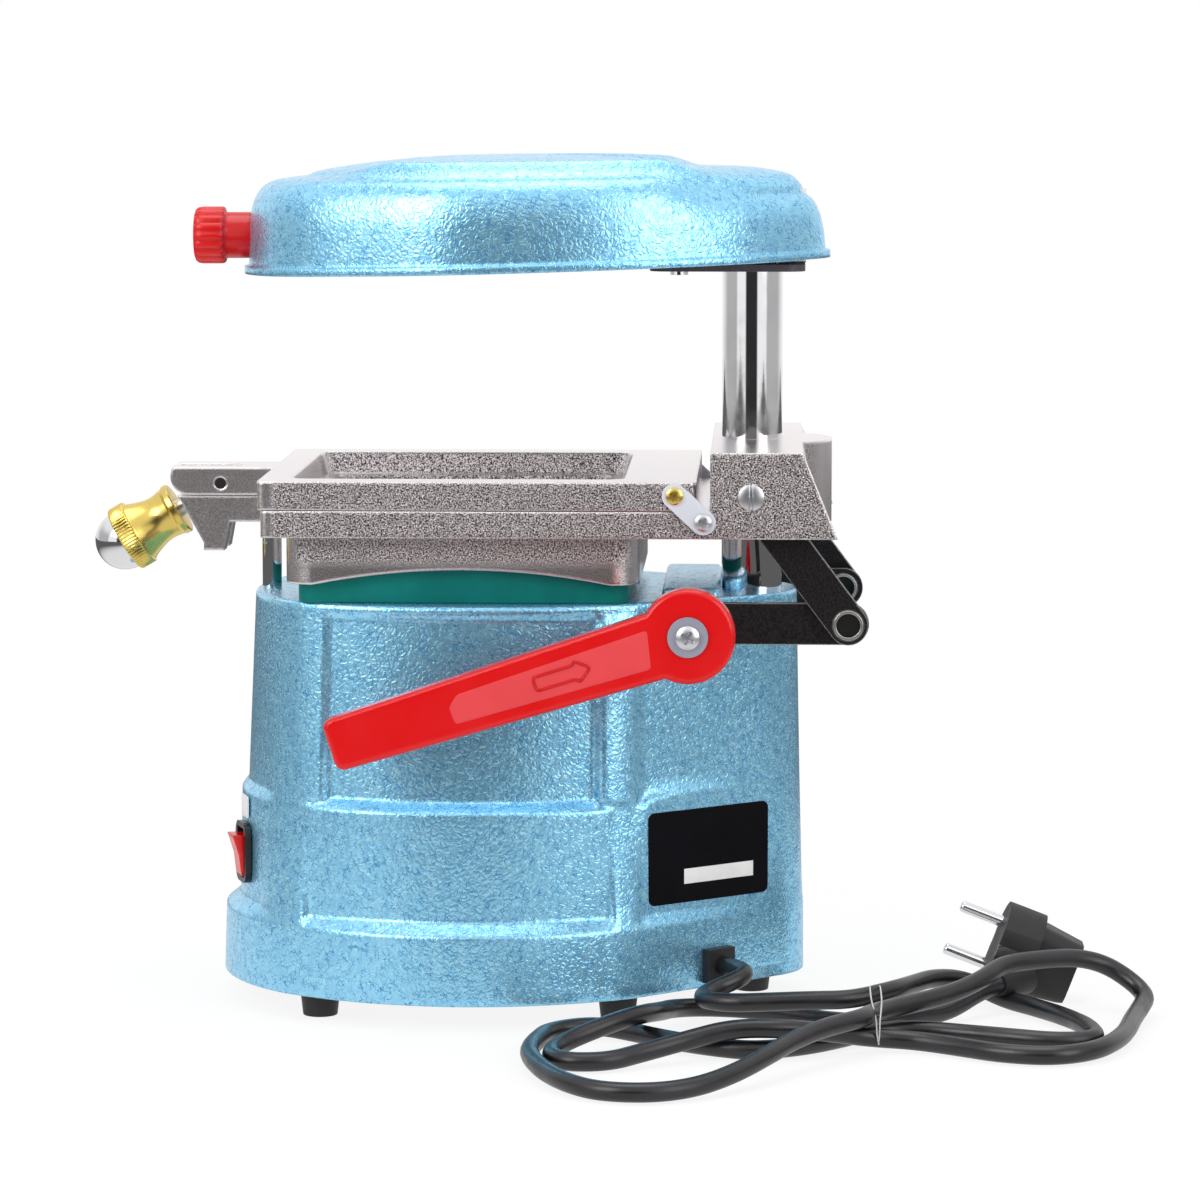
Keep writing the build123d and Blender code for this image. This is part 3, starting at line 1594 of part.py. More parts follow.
def plug_body():
    """The moulded plug: a round front with two flats, a hood behind it and the cord's strain relief."""
    front = Pos(-plug_front / 2, 0, 0) * Rot(0, 90, 0) * Cylinder(plug_radius, plug_front)
    front = front & Box(far_cut, 2 * flat_half, far_cut)
    hood_start = Plane(
        origin=(-plug_front + 0.5, 0, 0), z_dir=(-1, 0, 0)
    ) * RectangleRounded(hood_root_width, hood_root_height, hood_corner)
    hood_end = Plane(
        origin=(-plug_front - plug_hood, 0, 0), z_dir=(-1, 0, 0)
    ) * RectangleRounded(hood_width, hood_height, hood_corner)
    hood = loft([hood_start, hood_end])
    body = plug_place * (front + hood)
    axis = Vector(*relief_tip) - Vector(*relief_root)
    root = Plane(origin=relief_root, z_dir=axis) * Circle(relief_root_radius)
    tip = Plane(origin=relief_tip, z_dir=axis) * Circle(relief_tip_radius)
    body = body + loft([root, tip])
    for side in (-1, 1):
        z = side * plug_pin_spacing / 2
        body = body - plug_place * Pos(0, 0, z) * Rot(0, 90, 0) * Cylinder(
            plug_pin_radius + fit_gap, 2 * plug_pin_seat
        )
    for side in (-1, 1):
        groove = Pos(-earth_length / 2, side * flat_half, 0) * Box(
            earth_length, 2 * earth_thickness, earth_width
        )
        body = body - plug_place * groove
    return body


def plug_contacts():
    """Two round pins and the two earth strips in the plug's sides."""
    pieces = []
    for side in (-1, 1):
        z = side * plug_pin_spacing / 2
        length = plug_pin_length + plug_pin_seat
        pin = Pos(length / 2 - plug_pin_seat, 0, z) * Rot(0, 90, 0) * Cylinder(plug_pin_radius, length)
        pin = fillet(pin.edges().group_by(Axis.X)[-1], plug_pin_radius / 2)
        pieces.append(plug_place * pin)
    for side in (-1, 1):
        y = side * (flat_half - earth_thickness / 2)
        strip = Pos(-earth_length / 2, y, 0) * Box(
            earth_length - fit_gap, earth_thickness, earth_width - fit_gap
        )
        pieces.append(plug_place * strip)
    return pieces


export("cord_lead", cord_lead())
export("cord_hank", cord_hank())
export("cord_tie", tie_ring(0))
export("plug_body", plug_body())
export("plug_contacts", *plug_contacts())
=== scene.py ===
# %% [markdown]
# # Dressing a dental vacuum former
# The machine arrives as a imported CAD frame: every casting, shaft and screw is already in place and in metres.
# This file gives it the finish of the real one: hammertone enamel, speckled nickel castings, chrome, brass,
# a glossy red lever and a tied hank of mains cord. Each cell makes one piece or one finish.
# We load the frame first, because every later piece is measured from it.

# %% Load the frame
import json
import math

import bmesh
import bpy
import numpy as np
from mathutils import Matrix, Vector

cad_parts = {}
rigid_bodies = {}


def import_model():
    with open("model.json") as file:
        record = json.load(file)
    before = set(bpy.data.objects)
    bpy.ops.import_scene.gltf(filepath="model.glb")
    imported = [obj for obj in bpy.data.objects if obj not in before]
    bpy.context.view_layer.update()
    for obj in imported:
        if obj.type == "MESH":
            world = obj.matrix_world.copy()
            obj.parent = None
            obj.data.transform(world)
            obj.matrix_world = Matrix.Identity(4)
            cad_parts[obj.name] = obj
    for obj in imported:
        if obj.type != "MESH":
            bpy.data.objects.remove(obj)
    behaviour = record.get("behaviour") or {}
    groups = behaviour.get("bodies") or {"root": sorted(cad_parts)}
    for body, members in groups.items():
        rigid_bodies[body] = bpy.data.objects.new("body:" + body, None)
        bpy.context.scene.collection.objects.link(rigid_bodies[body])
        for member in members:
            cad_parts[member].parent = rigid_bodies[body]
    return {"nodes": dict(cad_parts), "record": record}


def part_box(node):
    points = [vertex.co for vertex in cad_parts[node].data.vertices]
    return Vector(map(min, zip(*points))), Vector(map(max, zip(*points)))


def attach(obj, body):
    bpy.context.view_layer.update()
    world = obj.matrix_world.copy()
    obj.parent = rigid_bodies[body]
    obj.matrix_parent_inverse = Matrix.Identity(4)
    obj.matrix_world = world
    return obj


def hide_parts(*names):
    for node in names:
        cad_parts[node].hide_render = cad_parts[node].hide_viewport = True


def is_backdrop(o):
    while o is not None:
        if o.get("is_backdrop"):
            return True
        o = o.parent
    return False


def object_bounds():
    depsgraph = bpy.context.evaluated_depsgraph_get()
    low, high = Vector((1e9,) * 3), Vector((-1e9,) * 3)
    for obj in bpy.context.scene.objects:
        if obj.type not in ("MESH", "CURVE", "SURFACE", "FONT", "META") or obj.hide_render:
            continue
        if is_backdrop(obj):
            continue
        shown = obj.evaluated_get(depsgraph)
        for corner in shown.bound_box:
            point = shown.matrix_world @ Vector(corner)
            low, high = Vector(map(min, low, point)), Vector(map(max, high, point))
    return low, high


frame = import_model()
cad_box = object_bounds()
nodes = frame["nodes"]
bodies = frame["record"]["behaviour"]["bodies"]
body_of_node = {node: body for body, members in bodies.items() for node in members}
slot_of_node = {part["node"]: part["material_slot"] for part in frame["record"]["subparts"]}

# %% [markdown]
# ## A ruler
# The real machine is measured from its chrome column: X runs back from the clamp, Y away from the lever side, Z up
# from the table. Writing sizes in millimetres from the column's axis keeps them readable, so one helper turns
# them into the frame's metres. Reading the axis from the frame means that nothing has to be fitted by eye.

# %% A ruler from the column's axis
MM = 0.001
column_low, column_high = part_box("guide_column")
column_axis = np.array([(column_low.x + column_high.x) / 2, (column_low.y + column_high.y) / 2, 0.0])


def at(points):
    """Millimetres from the column's axis, as metres in the frame: column axis + 0.001 x point."""
    return column_axis + MM * np.asarray(points, float)


print("column axis at", column_axis.round(4))

# %% [markdown]
# ## The camera
# A machine this size is best seen from about two metres through a long lens, which keeps the upright lines nearly
# parallel. Placing the camera by its distance, turn and tilt keeps those facts visible.

# %% The camera
camera_distance = 2000.0
camera_side = 7.85
camera_height = 386.0
camera_turn = 2.03  # degrees towards the clamp
camera_tilt = 6.34  # degrees down
sensor = 36.0
lens = 145.2

camera_data = bpy.data.cameras.new("camera")
camera_data.sensor_width = sensor
camera_data.lens = lens
camera_data.clip_start = 0.1
camera_data.clip_end = 50.0
camera = bpy.data.objects.new("camera", camera_data)
camera.location = at([camera_side, -camera_distance, camera_height])
camera.rotation_euler = (math.radians(90 - camera_tilt), 0, math.radians(camera_turn))
bpy.context.scene.collection.objects.link(camera)
bpy.context.scene.camera = camera
print("camera at", [round(value, 3) for value in camera.location])

# %% [markdown]
# ## Meshes from numpy grids
# Most shapes here are a function of two parameters: how far along a profile, and how far round. Numpy works the
# whole grid out at once, and one helper joins neighbouring points into faces. Edges could be modelled by hand,
# but a formula stays easy to change and gives an even flow of faces.

# %% Grid to mesh
scene_objects = bpy.context.scene.collection.objects


def mesh_object(name, points, faces, smooth_angle=35.0):
    """A mesh object from vertex and face lists, with faces pointing outwards and sharp edges past an angle."""
    mesh = bpy.data.meshes.new(name)
    mesh.from_pydata(points.tolist(), [], faces)
    shape = bmesh.new()
    shape.from_mesh(mesh)
    bmesh.ops.remove_doubles(shape, verts=shape.verts, dist=1e-7)
    bmesh.ops.recalc_face_normals(shape, faces=shape.faces)
    shape.to_mesh(mesh)
    shape.free()
    mesh.shade_smooth()
    mesh.set_sharp_from_angle(angle=math.radians(smooth_angle))
    piece = bpy.data.objects.new(name, mesh)
    scene_objects.link(piece)
    return piece


def grid_faces(rows, columns, start=0, wrap=True):
    """Quads between neighbouring rows and columns; wrap joins the last column to the first."""
    across = columns if wrap else columns - 1
    row, column = np.meshgrid(np.arange(rows - 1), np.arange(across), indexing="ij")
    after = (column + 1) % columns
    quads = np.stack(
        [row * columns + column, row * columns + after, (row + 1) * columns + after, (row + 1) * columns + column], -1
    )
    return (quads.reshape(-1, 4) + start).tolist()


def closed_grid(grids, poles=(True, True)):
    """Rows of rings (rows, columns, 3) and their faces, each end closed by a fan to the ring's mean point."""
    rows, columns, _ = grids.shape
    points = [grids.reshape(-1, 3)]
    faces = grid_faces(rows, columns)
    column = np.arange(columns)
    count = rows * columns
    for wanted, row in zip(poles, (0, rows - 1)):
        if wanted:
            ring = row * columns + column
            points.append(grids[row].mean(0)[None])
            fan = np.stack([ring, np.roll(ring, -1), np.full(columns, count)], -1)
            faces += fan.tolist()
            count += 1
    return np.concatenate(points), faces


def smoothstep(low, high, value):
    """0 below low, 1 above high, 3t^2 - 2t^3 between."""
    t = np.clip((value - low) / (high - low), 0, 1)
    return t * t * (3 - 2 * t)


def revolve(profile, columns, ripple=None):
    """A profile of (radius, height) turned about Z: x = r cos a, y = r sin a. ripple(a, row) scales the radius."""
    profile = np.asarray(profile, float)
    angle = np.linspace(0, 2 * np.pi, columns, endpoint=False)[None]
    radius = profile[:, :1] * np.ones_like(angle)
    if ripple is not None:
        radius = radius * ripple(angle, np.arange(len(profile))[:, None])
    height = profile[:, 1:] * np.ones_like(angle)
    return np.stack([radius * np.cos(angle), radius * np.sin(angle), height], -1)


def turned(points, towards, origin):
    """Points whose Z axis is turned to a direction, and moved to an origin: origin + x side + y up + z towards."""
    towards = np.asarray(towards, float) / np.linalg.norm(towards)
    side = np.cross([0.0, 1.0, 0.0] if abs(towards[1]) < 0.9 else [1.0, 0.0, 0.0], towards)
    side /= np.linalg.norm(side)
    up = np.cross(towards, side)
    return np.asarray(origin, float) + points @ np.stack([side, up, towards])


def rounded_box(low, high, radius, steps=5):
    """A box with round edges: inner corner + radius x direction, with directions on eight eighths of a ball."""
    low, high = np.asarray(low, float), np.asarray(high, float)
    centre, half = (low + high) / 2, (high - low) / 2 - radius
    quarter = np.linspace(0, np.pi / 2, steps)
    turn = np.concatenate([quarter + k * np.pi / 2 for k in range(4)])[None]
    side_x = np.repeat([1, -1, -1, 1], steps)[None]
    side_y = np.repeat([1, 1, -1, -1], steps)[None]
    rise = np.concatenate([quarter, quarter + np.pi / 2])[:, None]
    side_z = np.repeat([1, -1], steps)[:, None]
    x = side_x * half[0] + radius * np.sin(rise) * np.cos(turn)
    y = side_y * half[1] + radius * np.sin(rise) * np.sin(turn)
    z = (side_z * half[2] + radius * np.cos(rise)) * np.ones_like(turn)
    return centre + np.stack([x, y, z], -1)


finish_of_node = {
    "side_links": "pale_zinc",
    "lever_washer": "grey_zinc",
    "head_bracket": "dark_steel",
    "carriage_bushes": "plated_casting",
    # The clamp pin takes black plastic so that the lug's hole reads dark: painted shade.
    "clamp_pin": "black_plastic",
}


def piece_from(name, grids, body, finish, replaces=(), **closing):
    """A closed grid made a mesh piece that rides on a body and takes a finish."""
    points, faces = closed_grid(grids, **closing)
    piece = mesh_object(name, at(points), faces)
    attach(piece, body)
    if replaces:
        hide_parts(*replaces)
    piece["finish"] = finish
    return piece


print("grid helpers ready")

# %% [markdown]
# ## The mains cord
# A round two-core lead leaves a square bush, hooks back, and is folded into two loops that a twist tie holds at the
# waist. It is one curve: control points laid along the real strands, with humps where a strand passes over
# another. A NURBS of order 3 stays inside its control polygon, so the strands keep clear of each other. Each point
# carries the lead's radius, because the box that Blender reports for a curve grows by it.

# %% The cord's route
cord_diameter = 7.6
route = np.array([
    (-11.3, -48.8, 19), (-2.6, -58.4, 19), (-2.2, -68.5, 18), (-14.5, -74.5, 14), (-20.5, -85.5, 12.2),
    (-8.5, -96.5, 12.6), (9.5, -97, 13.4), (25, -96, 13.9), (41.1, -94.2, 13.9), (56.4, -83.8, 15.7),
    (65, -66.3, 14.7), (75.3, -47.3, 14.3), (89.5, -35.9, 11.2), (102.8, -39.4, 4.3), (117.4, -57.5, 3.8),
    (129.4, -81.7, 4.2), (135.6, -104.4, 4.9), (137.2, -120.8, 3.9), (122, -126.6, 3.9), (101.7, -120, 4.3),
    (84.2, -110.2, 3.8), (64.4, -105.5, 4.5), (46, -111, 4.3), (34.2, -125, 3.8), (19.4, -139.7, 4),
    (1.4, -147.7, 3.8), (-15.8, -142.2, 4.4), (-32.3, -128.1, 4.1), (-45.8, -112.6, 3.8), (-60.8, -105.2, 5.1),
    (-79.2, -112.2, 4.1), (-83.7, -130.8, 3.8), (-85.5, -154.3, 4.5), (-82.2, -175.4, 4.7), (-76.7, -193.9, 4.6),
    (-68.6, -211.3, 4.4), (-55.8, -224.5, 3.9), (-35.5, -227.1, 3.9), (-18.7, -218.3, 4.5), (-4.3, -202.8, 6.8),
    (8, -185.3, 10.2), (16.9, -168.7, 12.3), (29.3, -153.5, 14.5), (44.3, -138.8, 15.2), (48.1, -123.6, 14.4),
    (61.4, -108.8, 14.6), (80.5, -94.9, 16.7), (93.9, -80.6, 20.1), (102.2, -65.6, 23.4), (119.8, -51.9, 23.1),
    (135.9, -41.1, 21.8), (149.2, -38.4, 17), (162.4, -47.3, 7.6), (158.2, -62.9, 5.2), (153.5, -83.5, 4.6),
    (149.6, -105.9, 4.1), (143.5, -127.5, 4.4), (134.1, -145.4, 4.3), (117.8, -154.1, 3.9), (97.8, -149.2, 3.9),
    (82.1, -136.9, 3.9), (65.7, -127.3, 4.3), (46.8, -128.4, 5.6), (31.7, -138.3, 9.5), (13.8, -146, 12.5),
    (-6.5, -147.9, 12.8), (-24.9, -151, 8.3), (-41.8, -160.1, 5.2), (-53.7, -170.7, 4), (-71.1, -171.3, 3.8),
    (-77.7, -157.5, 4.1), (-72, -142.8, 5.9), (-52.6, -131.6, 11.9), (-41, -119.7, 12.9), (-34.9, -100.8, 10),
    (-31.6, -79.7, 7), (-18.6, -66.5, 5.1), (2, -66.6, 4.3), (17.9, -77.2, 3.9), (34.4, -89.1, 4),
    (54.3, -91.8, 3.8), (66.6, -82.8, 5.5), (79.5, -69.6, 3.8), (95.8, -54, 11.3), (101.5, -47, 11.4),
])

curve = bpy.data.curves.new("mains_cord", "CURVE")
curve.dimensions = "3D"
curve.bevel_depth = 1.0  # times each point's radius
curve.bevel_resolution = 6
curve.resolution_u = 8
curve.use_fill_caps = True
line = curve.splines.new("NURBS")
line.points.add(len(route) - 1)
line.points.foreach_set("co", np.hstack([at(route), np.ones((len(route), 1))]).ravel())
line.points.foreach_set("radius", np.full(len(route), MM * cord_diameter / 2))
line.order_u = 3
line.use_endpoint_u = True
cord = bpy.data.objects.new("mains_cord", curve)
scene_objects.link(cord)
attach(cord, "base")
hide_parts("cord_lead", "cord_hank")
cord["finish"] = "pvc_black"
print("cord points:", len(route))

# %% [markdown]
# ## Soft edges on the machined parts
# No real casting or stamping has a knife edge, and it is the small round along an edge that catches the light.
# The CAD solids have sharp edges, so each rigid part is copied, its loose triangles are merged back into whole
# faces, and a bevel of the real edge's size is added. A bevel modifier keeps the part's flat faces flat.

# %% Softened copies
def softened(node, width, name, angle=32.0, segments=3):
    """A copy of a CAD node with bevelled edges; width is in millimetres."""
    shape = bmesh.new()
    shape.from_mesh(nodes[node].data)
    bmesh.ops.remove_doubles(shape, verts=shape.verts, dist=1e-6)
    bmesh.ops.dissolve_limit(shape, angle_limit=math.radians(0.6), verts=shape.verts, edges=shape.edges)
    mesh = bpy.data.meshes.new(name)
    shape.to_mesh(mesh)
    shape.free()
    for attribute in ("custom_normal",):
        if attribute in mesh.attributes:
            mesh.attributes.remove(mesh.attributes[attribute])
    mesh.shade_smooth()
    mesh.set_sharp_from_angle(angle=math.radians(angle))
    piece = bpy.data.objects.new(name, mesh)
    scene_objects.link(piece)
    bevel = piece.modifiers.new("edge", "BEVEL")
    bevel.width = MM * width
    bevel.segments = segments
    bevel.limit_method = "ANGLE"
    bevel.angle_limit = math.radians(angle)
    bevel.use_clamp_overlap = True
    bevel.harden_normals = True
    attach(piece, body_of_node[node])
    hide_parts(node)
    piece["finish"] = finish_of_node.get(node, slot_of_node[node])
    return piece


edge_widths = {
    "carriage": 1.8,
    "upper_frame": 1.8,
    "lift_lever": 2.4,
    "near_crank": 0.3,
    "far_crank": 0.3,
    "near_link": 0.3,
    "far_link": 0.3,
    "side_links": 0.25,
    "head_bracket": 0.5,
    "seal_pad": 0.8,
    "vacuum_plate": 0.2,
    "switch_cases": 0.5,
    "cord_gland": 0.5,
    "feet": 0.5,
    "plug_body": 0.7,
    "crank_pins": 0.3,
    "cross_shaft": 0.4,
    "lever_washer": 0.2,
    "guide_column": 0.5,
    "front_rod": 0.4,
    "clamp_pin": 0.3,
    "swing_bolt": 0.3,
    "shaft_bushes": 0.3,
    "bottom_cover": 0.3,
    "rating_plate": 0.2,
    "heat_rocker": 0.5,
    "vacuum_rocker": 0.5,
}
for node, width in edge_widths.items():
    softened(node, width, node + "_edged")
print("softened:", len(edge_widths), "parts")
# %% [markdown]
# ## The cast housing
# A sand-cast housing is drawn with draft: every tier leans in, panels are sunk between pillars, and all corners are
# soft so that the sand releases. That is a grid again: one parameter runs round the plan, the other up the side,
# and the distance the skin stands out from the top outline depends on both.

# %% The housing's plan
def arc_through(start, middle, end, count):
    """Points on the circle through three points, for many levels at once: centre + radius (cos a, sin a)."""
    (ax, ay), (bx, by), (cx, cy) = (np.broadcast_arrays(*point) for point in (start, middle, end))
    d = 2 * (ax * (by - cy) + bx * (cy - ay) + cx * (ay - by))
    a2, b2, c2 = ax**2 + ay**2, bx**2 + by**2, cx**2 + cy**2
    ux = (a2 * (by - cy) + b2 * (cy - ay) + c2 * (ay - by)) / d
    uy = (a2 * (cx - bx) + b2 * (ax - cx) + c2 * (bx - ax)) / d
    first, half, last = (np.arctan2(y - uy, x - ux) for x, y in ((ax, ay), (bx, by), (cx, cy)))
    wrap = lambda angle: (angle + np.pi) % (2 * np.pi) - np.pi
    sweep = wrap(half - first) + wrap(last - half)
    radius = np.hypot(ax - ux, ay - uy)
    angle = first[..., None] + sweep[..., None] * np.linspace(0, 1, count, endpoint=False)
    return np.stack(
        [ux[..., None] + radius[..., None] * np.cos(angle), uy[..., None] + radius[..., None] * np.sin(angle)], -1
    )


def straight(start, end, count):
    """Points on a straight run: start + t (end - start)."""
    t = np.linspace(0, 1, count, endpoint=False)
    (ax, ay), (bx, by) = (np.broadcast_arrays(*point) for point in (start, end))
    return np.stack([ax[..., None] + t * (bx - ax)[..., None], ay[..., None] + t * (by - ay)[..., None]], -1)


def rounded_loop(loop, passes):
    """A closed loop with soft corners: each pass takes (before + 2 x here + after) / 4."""
    for _ in range(passes):
        loop = (np.roll(loop, 1, 1) + 2 * loop + np.roll(loop, -1, 1)) / 4
    return loop


def housing_plan(front, side):
    """The plan for a flare in front and at the sides: front curve, two bulging flanks, two tapers, rear curve."""
    zero = np.zeros_like(side)
    corner = (-(185.5 + side / 10), 62 + 0.42 * side)
    flank = (-119 + zero, 78 + side)
    hip = (-45 + zero, 62.5 + 0.6 * side)
    tail = (5 + 0.18 * side, 29 - 0.18 * side)
    tip, rear = -(206 + front), 19 + 0.18 * side
    mirror = lambda point: (point[0], -point[1])
    runs = [
        arc_through(mirror(corner), (tip, zero), corner, 96),
        arc_through(corner, flank, hip, 128),
        straight(hip, tail, 52),
        arc_through(tail, (rear, zero), mirror(tail), 64),
        straight(mirror(tail), mirror(hip), 52),
        arc_through(mirror(hip), mirror(flank), mirror(corner), 128),
    ]
    return np.concatenate(runs, axis=-2)


print("plan points:", housing_plan(np.zeros(1), np.zeros(1)).shape[1])

# %% Tiers, pillars and panels
tier_height = [10, 38, 42.4, 43.2, 86.6, 90.6, 169.4]
tier_front = [14.5, 13.5, 8.0, 7.4, 6.5, 3.6, 0]
tier_side = [19, 18, 12.5, 11.9, 11, 5.2, 0]
pillar_height = [10, 38, 41, 48, 60, 76, 93, 130, 169.4]
pillar_front = [14.5, 13.5, 12.3, 10.7, 9.4, 7.4, 5.6, 2.8, 0]
pillar_side = [19, 18, 16.4, 14.4, 12.8, 10.4, 8.0, 3.9, 0]
top_round = 2.4
panel_sink = 2.2
pilaster_bulge = 2.4

levels = np.concatenate([
    np.linspace(10.8, 36, 8), np.linspace(37, 44.5, 13), np.linspace(47, 84.5, 13), np.linspace(85.6, 92.4, 13),
    np.linspace(95, 160, 16), np.linspace(162, 169.4 - top_round, 6),
])
top_outline = rounded_loop(housing_plan(np.zeros(1), np.zeros(1)), 40)[0]
x, y = top_outline[None, :, 0], top_outline[None, :, 1]
z = levels[:, None]


def window(value, low, high, soft):
    """1 between two values, with soft ends."""
    return smoothstep(low - soft / 2, low + soft / 2, value) * (
        1 - smoothstep(high - soft / 2, high + soft / 2, value)
    )


arch = 89 + 4.5 * window(x, -40, 2, 30) * (np.abs(y) < 61)
upper_share = smoothstep(arch - 2, arch + 2, z)
on_side = x > -184
flank_upper = window(x, -171, -62, 3.2) * on_side * (1 - smoothstep(163, 167, z))
flank_mid = window(x, -178, -56, 3.2) * on_side
flank_panel = upper_share * flank_upper + (1 - upper_share) * flank_mid
rear_panel = window(x, -44.5, 13, 2.4)
front_panel = window(np.abs(y), -60, 49, 6.0) * (x < -184)
panel = np.clip(flank_panel + rear_panel + front_panel, 0, 1)
sink = panel_sink * flank_panel * (0.4 + 0.6 * upper_share) + 0.5 * rear_panel * upper_share
across = np.clip(1 - ((x + 53.2) / 7.6) ** 2, 0, 1) * (y < 0)
pilaster = pilaster_bulge * np.sqrt(across) * upper_share * (1 - smoothstep(160, 166, z))
shifted = z - (arch - 89) * window(z, 86, 97, 8)


def mixed(tier, pillar):
    """The flare of the skin: the tier's where a panel is, the pillar's elsewhere."""
    tiers = np.interp(shifted, tier_height, tier)
    pillars = np.interp(z, pillar_height, pillar) * np.ones_like(x)
    return panel * tiers + (1 - panel) * pillars - sink + pilaster


front_flare, side_flare = mixed(tier_front, pillar_front), mixed(tier_side, pillar_side)
for _ in range(1):
    front_flare = (np.roll(front_flare, 1, 1) + 2 * front_flare + np.roll(front_flare, -1, 1)) / 4
    side_flare = (np.roll(side_flare, 1, 1) + 2 * side_flare + np.roll(side_flare, -1, 1)) / 4


def plan_at(front, side):
    """The plan where every column has its own flare: the plan is linear in the flare, so two plans are blended."""
    still = rounded_loop(housing_plan(np.zeros(1), np.zeros(1)), 40)
    moved = rounded_loop(housing_plan(np.full(1, 10.0), np.full(1, 20.0)), 40)
    share_x = np.where(np.abs(still[..., 0]) > 184, front / 10, side / 20)
    share_x = rounded_loop(share_x[..., None], 30)[..., 0]
    share = np.stack([share_x, side / 20], -1)
    return still + share * (moved - still)


def ring(inset, height):
    """One closed ring of the skin: the outline moved in by an inset, at a height; the flare comes from the levels."""
    row = 0 if height < 60 else -1
    plan = plan_at(front_flare[row][None] - inset, side_flare[row][None] - inset)
    return np.concatenate([plan, np.full(plan.shape[:2] + (1,), float(height))], -1)


wall = np.concatenate([plan_at(front_flare, side_flare), z[..., None] * np.ones_like(x)[..., None]], -1)
turns = np.radians([15, 30, 45, 60, 75, 90])
over = [ring(top_round * (1 - math.cos(turn)), 169.4 - top_round + top_round * math.sin(turn)) for turn in turns]
rim = [ring(3.4, 15.0), ring(3.4, 10.2), ring(2.9, 10.0), ring(0.5, 10.0), ring(0.15, 10.2)]
skin = np.concatenate(rim + [wall] + over + [ring(8.0, 169.4)])
housing = piece_from("housing_skin", skin, "base", "blue_hammertone", replaces=["base_housing"])
piece_from(
    "shaft_bridge", rounded_box((-36.2, -50.0, 150.0), (-12.8, 50.0, 174.0), 2.4), "base", "blue_hammertone"
)
print("housing faces:", len(housing.data.polygons))

# %% [markdown]
# ## The head's shell
# The head is a pressing: a flat lip for stiffness, an upright wall, a rolled shoulder, a hollow band and a raised
# crown whose edge sweeps down over the column. Profiles are written for the nose, the flank and the rear, and
# every column of the grid blends the three by where it stands along the head.

# %% The head's shell
head_half_length, head_middle, head_half = 121.0, -89.0, 82.0
head_base, head_tilt = 305.5, math.radians(1.7)
unit_egg = np.array([
    (1.0, 0.0), (0.86, 0.56), (0.55, 0.85), (0.2, 1.0), (-0.3, 0.93), (-0.72, 0.64), (-0.95, 0.26), (-1.0, 0.0),
])


def smooth_through(knots, steps):
    """A Catmull-Rom curve through knots on the second last axis; the ends are carried on in a straight line."""
    ends = [2 * knots[..., :1, :] - knots[..., 1:2, :], knots, 2 * knots[..., -1:, :] - knots[..., -2:-1, :]]
    k = np.concatenate(ends, -2)[..., None, :]
    t = (np.arange(steps) / steps)[:, None]
    a, b, c, d = k[..., :-3, :, :], k[..., 1:-2, :, :], k[..., 2:-1, :, :], k[..., 3:, :, :]
    run = b + 0.5 * t * (c - a + t * (2 * a - 5 * b + 4 * c - d + t * (3 * (b - c) + d - a)))
    run = run.reshape(run.shape[:-3] + (-1, run.shape[-1]))
    return np.concatenate([run, knots[..., -1:, :]], -2)


mirrored = unit_egg[::-1][1:-1] * [1, -1]
loop = np.concatenate([unit_egg, mirrored, unit_egg[:3]])
loop = np.concatenate([mirrored[-2:], loop])
egg = smooth_through(loop, 34)[2 * 34:(2 + 14) * 34]
egg /= np.abs(egg).max(0)
outline_x = head_middle - egg[:, 0] * head_half_length

shared_foot = [
    (0.0, 0.4, 0.4), (0.4, 0.0, 0.0), (2.8, 0.0, 0.0), (3.2, 0.3, 0.3), (3.4, 1.7, 1.7), (4.0, 1.9, 1.9),
    (12.0, 2.5, 2.4),
]
flank_profile = shared_foot + [
    (22, 3.5, 3.3), (30, 5.6, 5.2), (34.4, 8.6, 7.8), (36.2, 11.4, 10.2), (37.2, 14.4, 12.6), (39.6, 18.4, 15.8),
    (42.9, 21.2, 18.4), (43.8, 23.2, 20.2), (44.2, 34, 27), (44.8, 52, 38), (45.2, 74, 50),
    (45.4, 93, 60), (45.4, 110, 73),
]
nose_profile = shared_foot + [
    (22, 3.2, 3.0), (29, 5.2, 5.0), (33.4, 8.2, 7.6), (35.4, 11.2, 10.0), (36.7, 15.0, 13.0), (37.5, 21, 17),
    (38.4, 28, 20), (39.6, 31, 22), (41.2, 40, 28), (43.2, 56, 38), (44.8, 76, 50), (45.4, 93, 60), (45.4, 110, 73),
]
rear_profile = shared_foot + [
    (18, 3.6, 3.1), (22.5, 5.2, 4.5), (25.4, 7.0, 6.2), (26.6, 8.4, 7.6), (27.4, 9.4, 8.6), (28.4, 10.2, 9.4),
    (30.6, 10.9, 10.1), (32.4, 12.0, 11.2), (36.4, 17, 17), (39.4, 33, 28), (40.4, 58, 42), (42.4, 88, 58),
    (43.4, 108, 72),
]
nose_share = (1 - smoothstep(-196, -150, outline_x))[:, None, None]
knot_index = np.arange(len(flank_profile))
rear_from = np.interp(knot_index, [8, 12], [-44.0, -26.0])
rear_share = smoothstep(rear_from, rear_from + 38, outline_x[:, None])[..., None]
flank_share = 1 - nose_share - rear_share
knots = nose_share * np.array(nose_profile) + rear_share * np.array(rear_profile) + flank_share * np.array(
    flank_profile
)
inner = np.array([
    (31.0, 40, 30), (29.0, 22, 19), (25.0, 11, 10), (18.0, 7.5, 7), (6.0, 5.2, 5.0), (0.3, 4.2, 4.0),
    (0.0, 3.8, 3.6),
])
profile = np.concatenate([np.broadcast_to(inner, (len(egg),) + inner.shape), smooth_through(knots, 5)], 1)
height, along, across = np.moveaxis(profile, -1, 0)
plan_x = head_middle - egg[:, :1] * (head_half_length - along)
plan_y = egg[:, 1:] * (head_half - across)
lean = math.radians(1.1) * height / 45
height = height - (plan_x - head_middle) * np.sin(lean)


